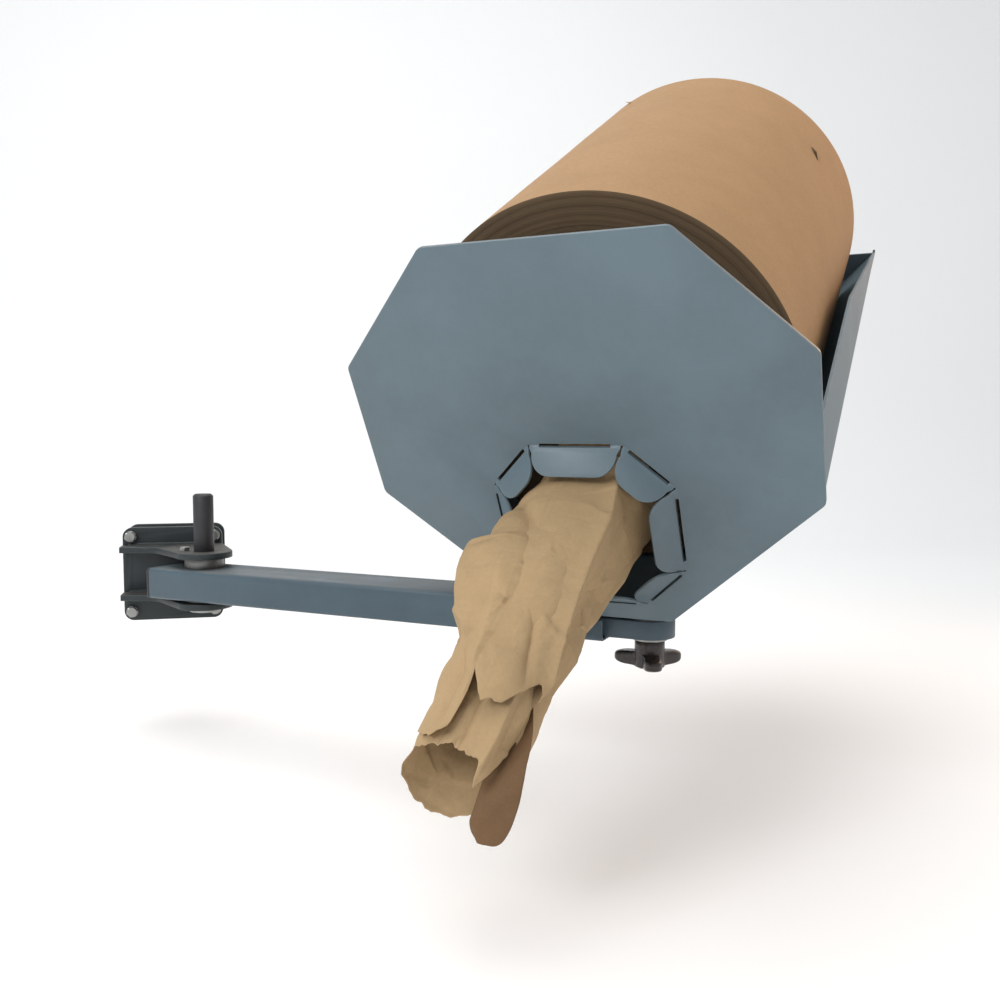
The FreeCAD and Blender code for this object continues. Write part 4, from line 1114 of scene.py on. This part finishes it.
def rounded_corner(before, corner, after, radius, steps):
    """Points on an arc that rounds a corner off."""
    first, second = (before - corner).normalized(), (after - corner).normalized()
    half = first.angle(second) / 2
    back = radius / math.tan(half)
    centre = corner + (first + second).normalized() * radius / math.sin(half)
    begin, finish = corner + first * back - centre, corner + second * back - centre
    sweep = begin.angle_signed(finish)
    points = []
    for step in range(steps + 1):
        turn = -sweep * step / steps
        points.append(centre + Vector((
            begin.x * math.cos(turn) - begin.y * math.sin(turn),
            begin.x * math.sin(turn) + begin.y * math.cos(turn),
        )))
    return points


def trough_section(offset, rim):
    """The trough's section from the right rim round to the left one, at an offset from its inner face."""
    slope_x, slope_z = PLATE_DROP + HIP_HEIGHT, HALF_WIDTH - BOTTOM_HALF_WIDTH
    slope = math.hypot(slope_x, slope_z)
    side, floor, contact = TROUGH_SIDE + offset, TROUGH_FLOOR + offset, TROUGH_CONTACT + offset
    hip = -(contact * slope - side * slope_x) / slope_z
    heel = (contact * slope - floor * slope_z) / slope_x
    corners = [Vector(corner) for corner in (
        (side, rim), (side, hip), (heel, -floor), (-heel, -floor), (-side, hip), (-side, rim),
    )]
    wall = [step / WALL_STEPS * 0.94 for step in range(WALL_STEPS)]
    points = [corners[0].lerp(corners[1], share) for share in wall]
    for index in range(1, 5):
        points += rounded_corner(*corners[index - 1:index + 2], BEND_RADIUS + offset, BEND_STEPS)
    return points + [corners[5].lerp(corners[4], share) for share in reversed(wall)]


def rim_height(rear):
    """The side wall's top edge: level at first, then falling to the rear."""
    end = TROUGH_START + TROUGH_LENGTH
    if rear <= RIM_LEVEL_END:
        return RIM_HIGH
    return RIM_HIGH + (RIM_LOW - RIM_HIGH) * (rear - RIM_LEVEL_END) / (end - RIM_LEVEL_END)


def trough():
    """The folded sheet cradle, with rounded bends, in place of its five flat panels."""
    rows = TROUGH_ROWS
    inner_rows, outer_rows = [], []
    for row in range(rows):
        rear = TROUGH_START + TROUGH_LENGTH * row / (rows - 1)
        rim = rim_height(rear)
        for lines, offset in ((inner_rows, 0), (outer_rows, TROUGH_WALL)):
            lines.append([head_point(point.x, rear, point.y) for point in trough_section(offset, rim)])
    width = len(inner_rows[0])
    points = [point for line in inner_rows + outer_rows for point in line]
    faces = grid_faces(rows, width, False)
    shift = rows * width
    faces += [tuple(corner + shift for corner in reversed(face)) for face in grid_faces(rows, width, False)]
    for column in range(width - 1):
        faces.append((column + 1, column, column + shift, column + 1 + shift))
        last = (rows - 1) * width + column
        faces.append((last, last + 1, last + 1 + shift, last + shift))
    for row in range(rows - 1):
        near, far = row * width, (row + 1) * width
        faces.append((near, far, far + shift, near + shift))
        near, far = near + width - 1, far + width - 1
        faces.append((far, near, near + shift, far + shift))
    item = mesh_object("trough_sheet", points, faces, FINISH["head_paint"])
    mark_sharp(item, 40)
    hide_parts("side_wall_left", "slope_left", "trough_floor", "slope_right", "side_wall_right")
    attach(item, "head")


# ---------------------------------------------------------------- stage, lights and camera
FLOOR_GLOW = 0.06


def stage():
    """A pale floor that curves up into a backdrop."""
    low = cad_low.z - 0.06
    front, depth, rise, width, bend = -3.2, 1.9, 2.6, 7.0, 0.8
    profile = [(front, low), (depth - bend, low)]
    steps = 24
    for step in range(1, steps + 1):
        angle = math.pi / 2 * step / steps
        profile.append((depth - bend + bend * math.sin(angle), low + bend * (1 - math.cos(angle))))
    profile.append((depth, low + rise))
    points = [(x, y, z) for y, z in profile for x in (-width / 2, width / 2)]
    paint = Paint("pale_floor")
    cloud = paint.noise(1.5, detail=3)
    pale = paint.blend(cloud, (0.87, 0.87, 0.865), (0.91, 0.91, 0.905))
    paint.feed(paint.shader.inputs["Emission Color"], pale)
    finish = paint.finish(pale, 0.85, Emission_Strength=FLOOR_GLOW)
    mesh_object("backdrop", points, grid_faces(len(profile), 2, False), finish)


def area_light(name, place, target, size, power, colour=(1, 1, 1), spread=180):
    light = bpy.data.lights.new(name, "AREA")
    light.shape = "RECTANGLE"
    light.size, light.size_y = size
    light.energy = power
    light.color = colour
    light.spread = math.radians(spread)
    lamp = place_object(name, light)
    lamp.location = place
    lamp.rotation_mode = "QUATERNION"
    lamp.rotation_quaternion = (Vector(target) - Vector(place)).to_track_quat("-Z", "Y")


def lights():
    """A broad ceiling light, a cool window at the left front and a weak warm light at the right rear."""
    centre = (cad_low + cad_high) / 2
    area_light("ceiling", centre + Vector((-0.3, 0.1, 1.9)), centre, (2.2, 1.6), 27, (1.0, 0.985, 0.96))
    area_light("window", centre + Vector((-1.9, -1.4, 1.15)), centre, (1.2, 1.0), 30, (0.94, 0.975, 1.0))
    roll = centre + Vector((0, 0, 0.1))
    area_light("warm", centre + Vector((1.8, 0.5, 0.9)), roll, (0.8, 0.8), 2.4, (1.0, 0.60, 0.32), spread=70)
    world = bpy.data.worlds.new("studio")
    bpy.context.scene.world = world
    world.use_nodes = True
    background = world.node_tree.nodes["Background"]
    background.inputs["Color"].default_value = (0.95, 0.97, 1.0, 1)
    background.inputs["Strength"].default_value = 0.64


CAMERA_PLACE = (0.1284, -1.0635, 0.1505)
CAMERA_PITCH = -4.15
CAMERA_YAW = -12
CAMERA_LENS = 34.56


def camera():
    """The eye at the place, turn and lens that give the object's shown view."""
    data = bpy.data.cameras.new("view")
    data.sensor_width = 36
    data.lens = CAMERA_LENS
    eye = place_object("view", data)
    eye.location = CAMERA_PLACE
    eye.rotation_euler = (math.radians(90 + CAMERA_PITCH), 0, math.radians(CAMERA_YAW))
    bpy.context.scene.camera = eye


# ---------------------------------------------------------------- the scene
camera()
stage()
lights()
bpy.context.scene.view_settings.view_transform = "Standard"
dress_cad_nodes()
paper_tail()
paper_strip()
paper_feed()
paper_roll()
knob()
clamp_fasteners()
flange_screw()
stud_hex_nut()
bracket_welds()
trough()
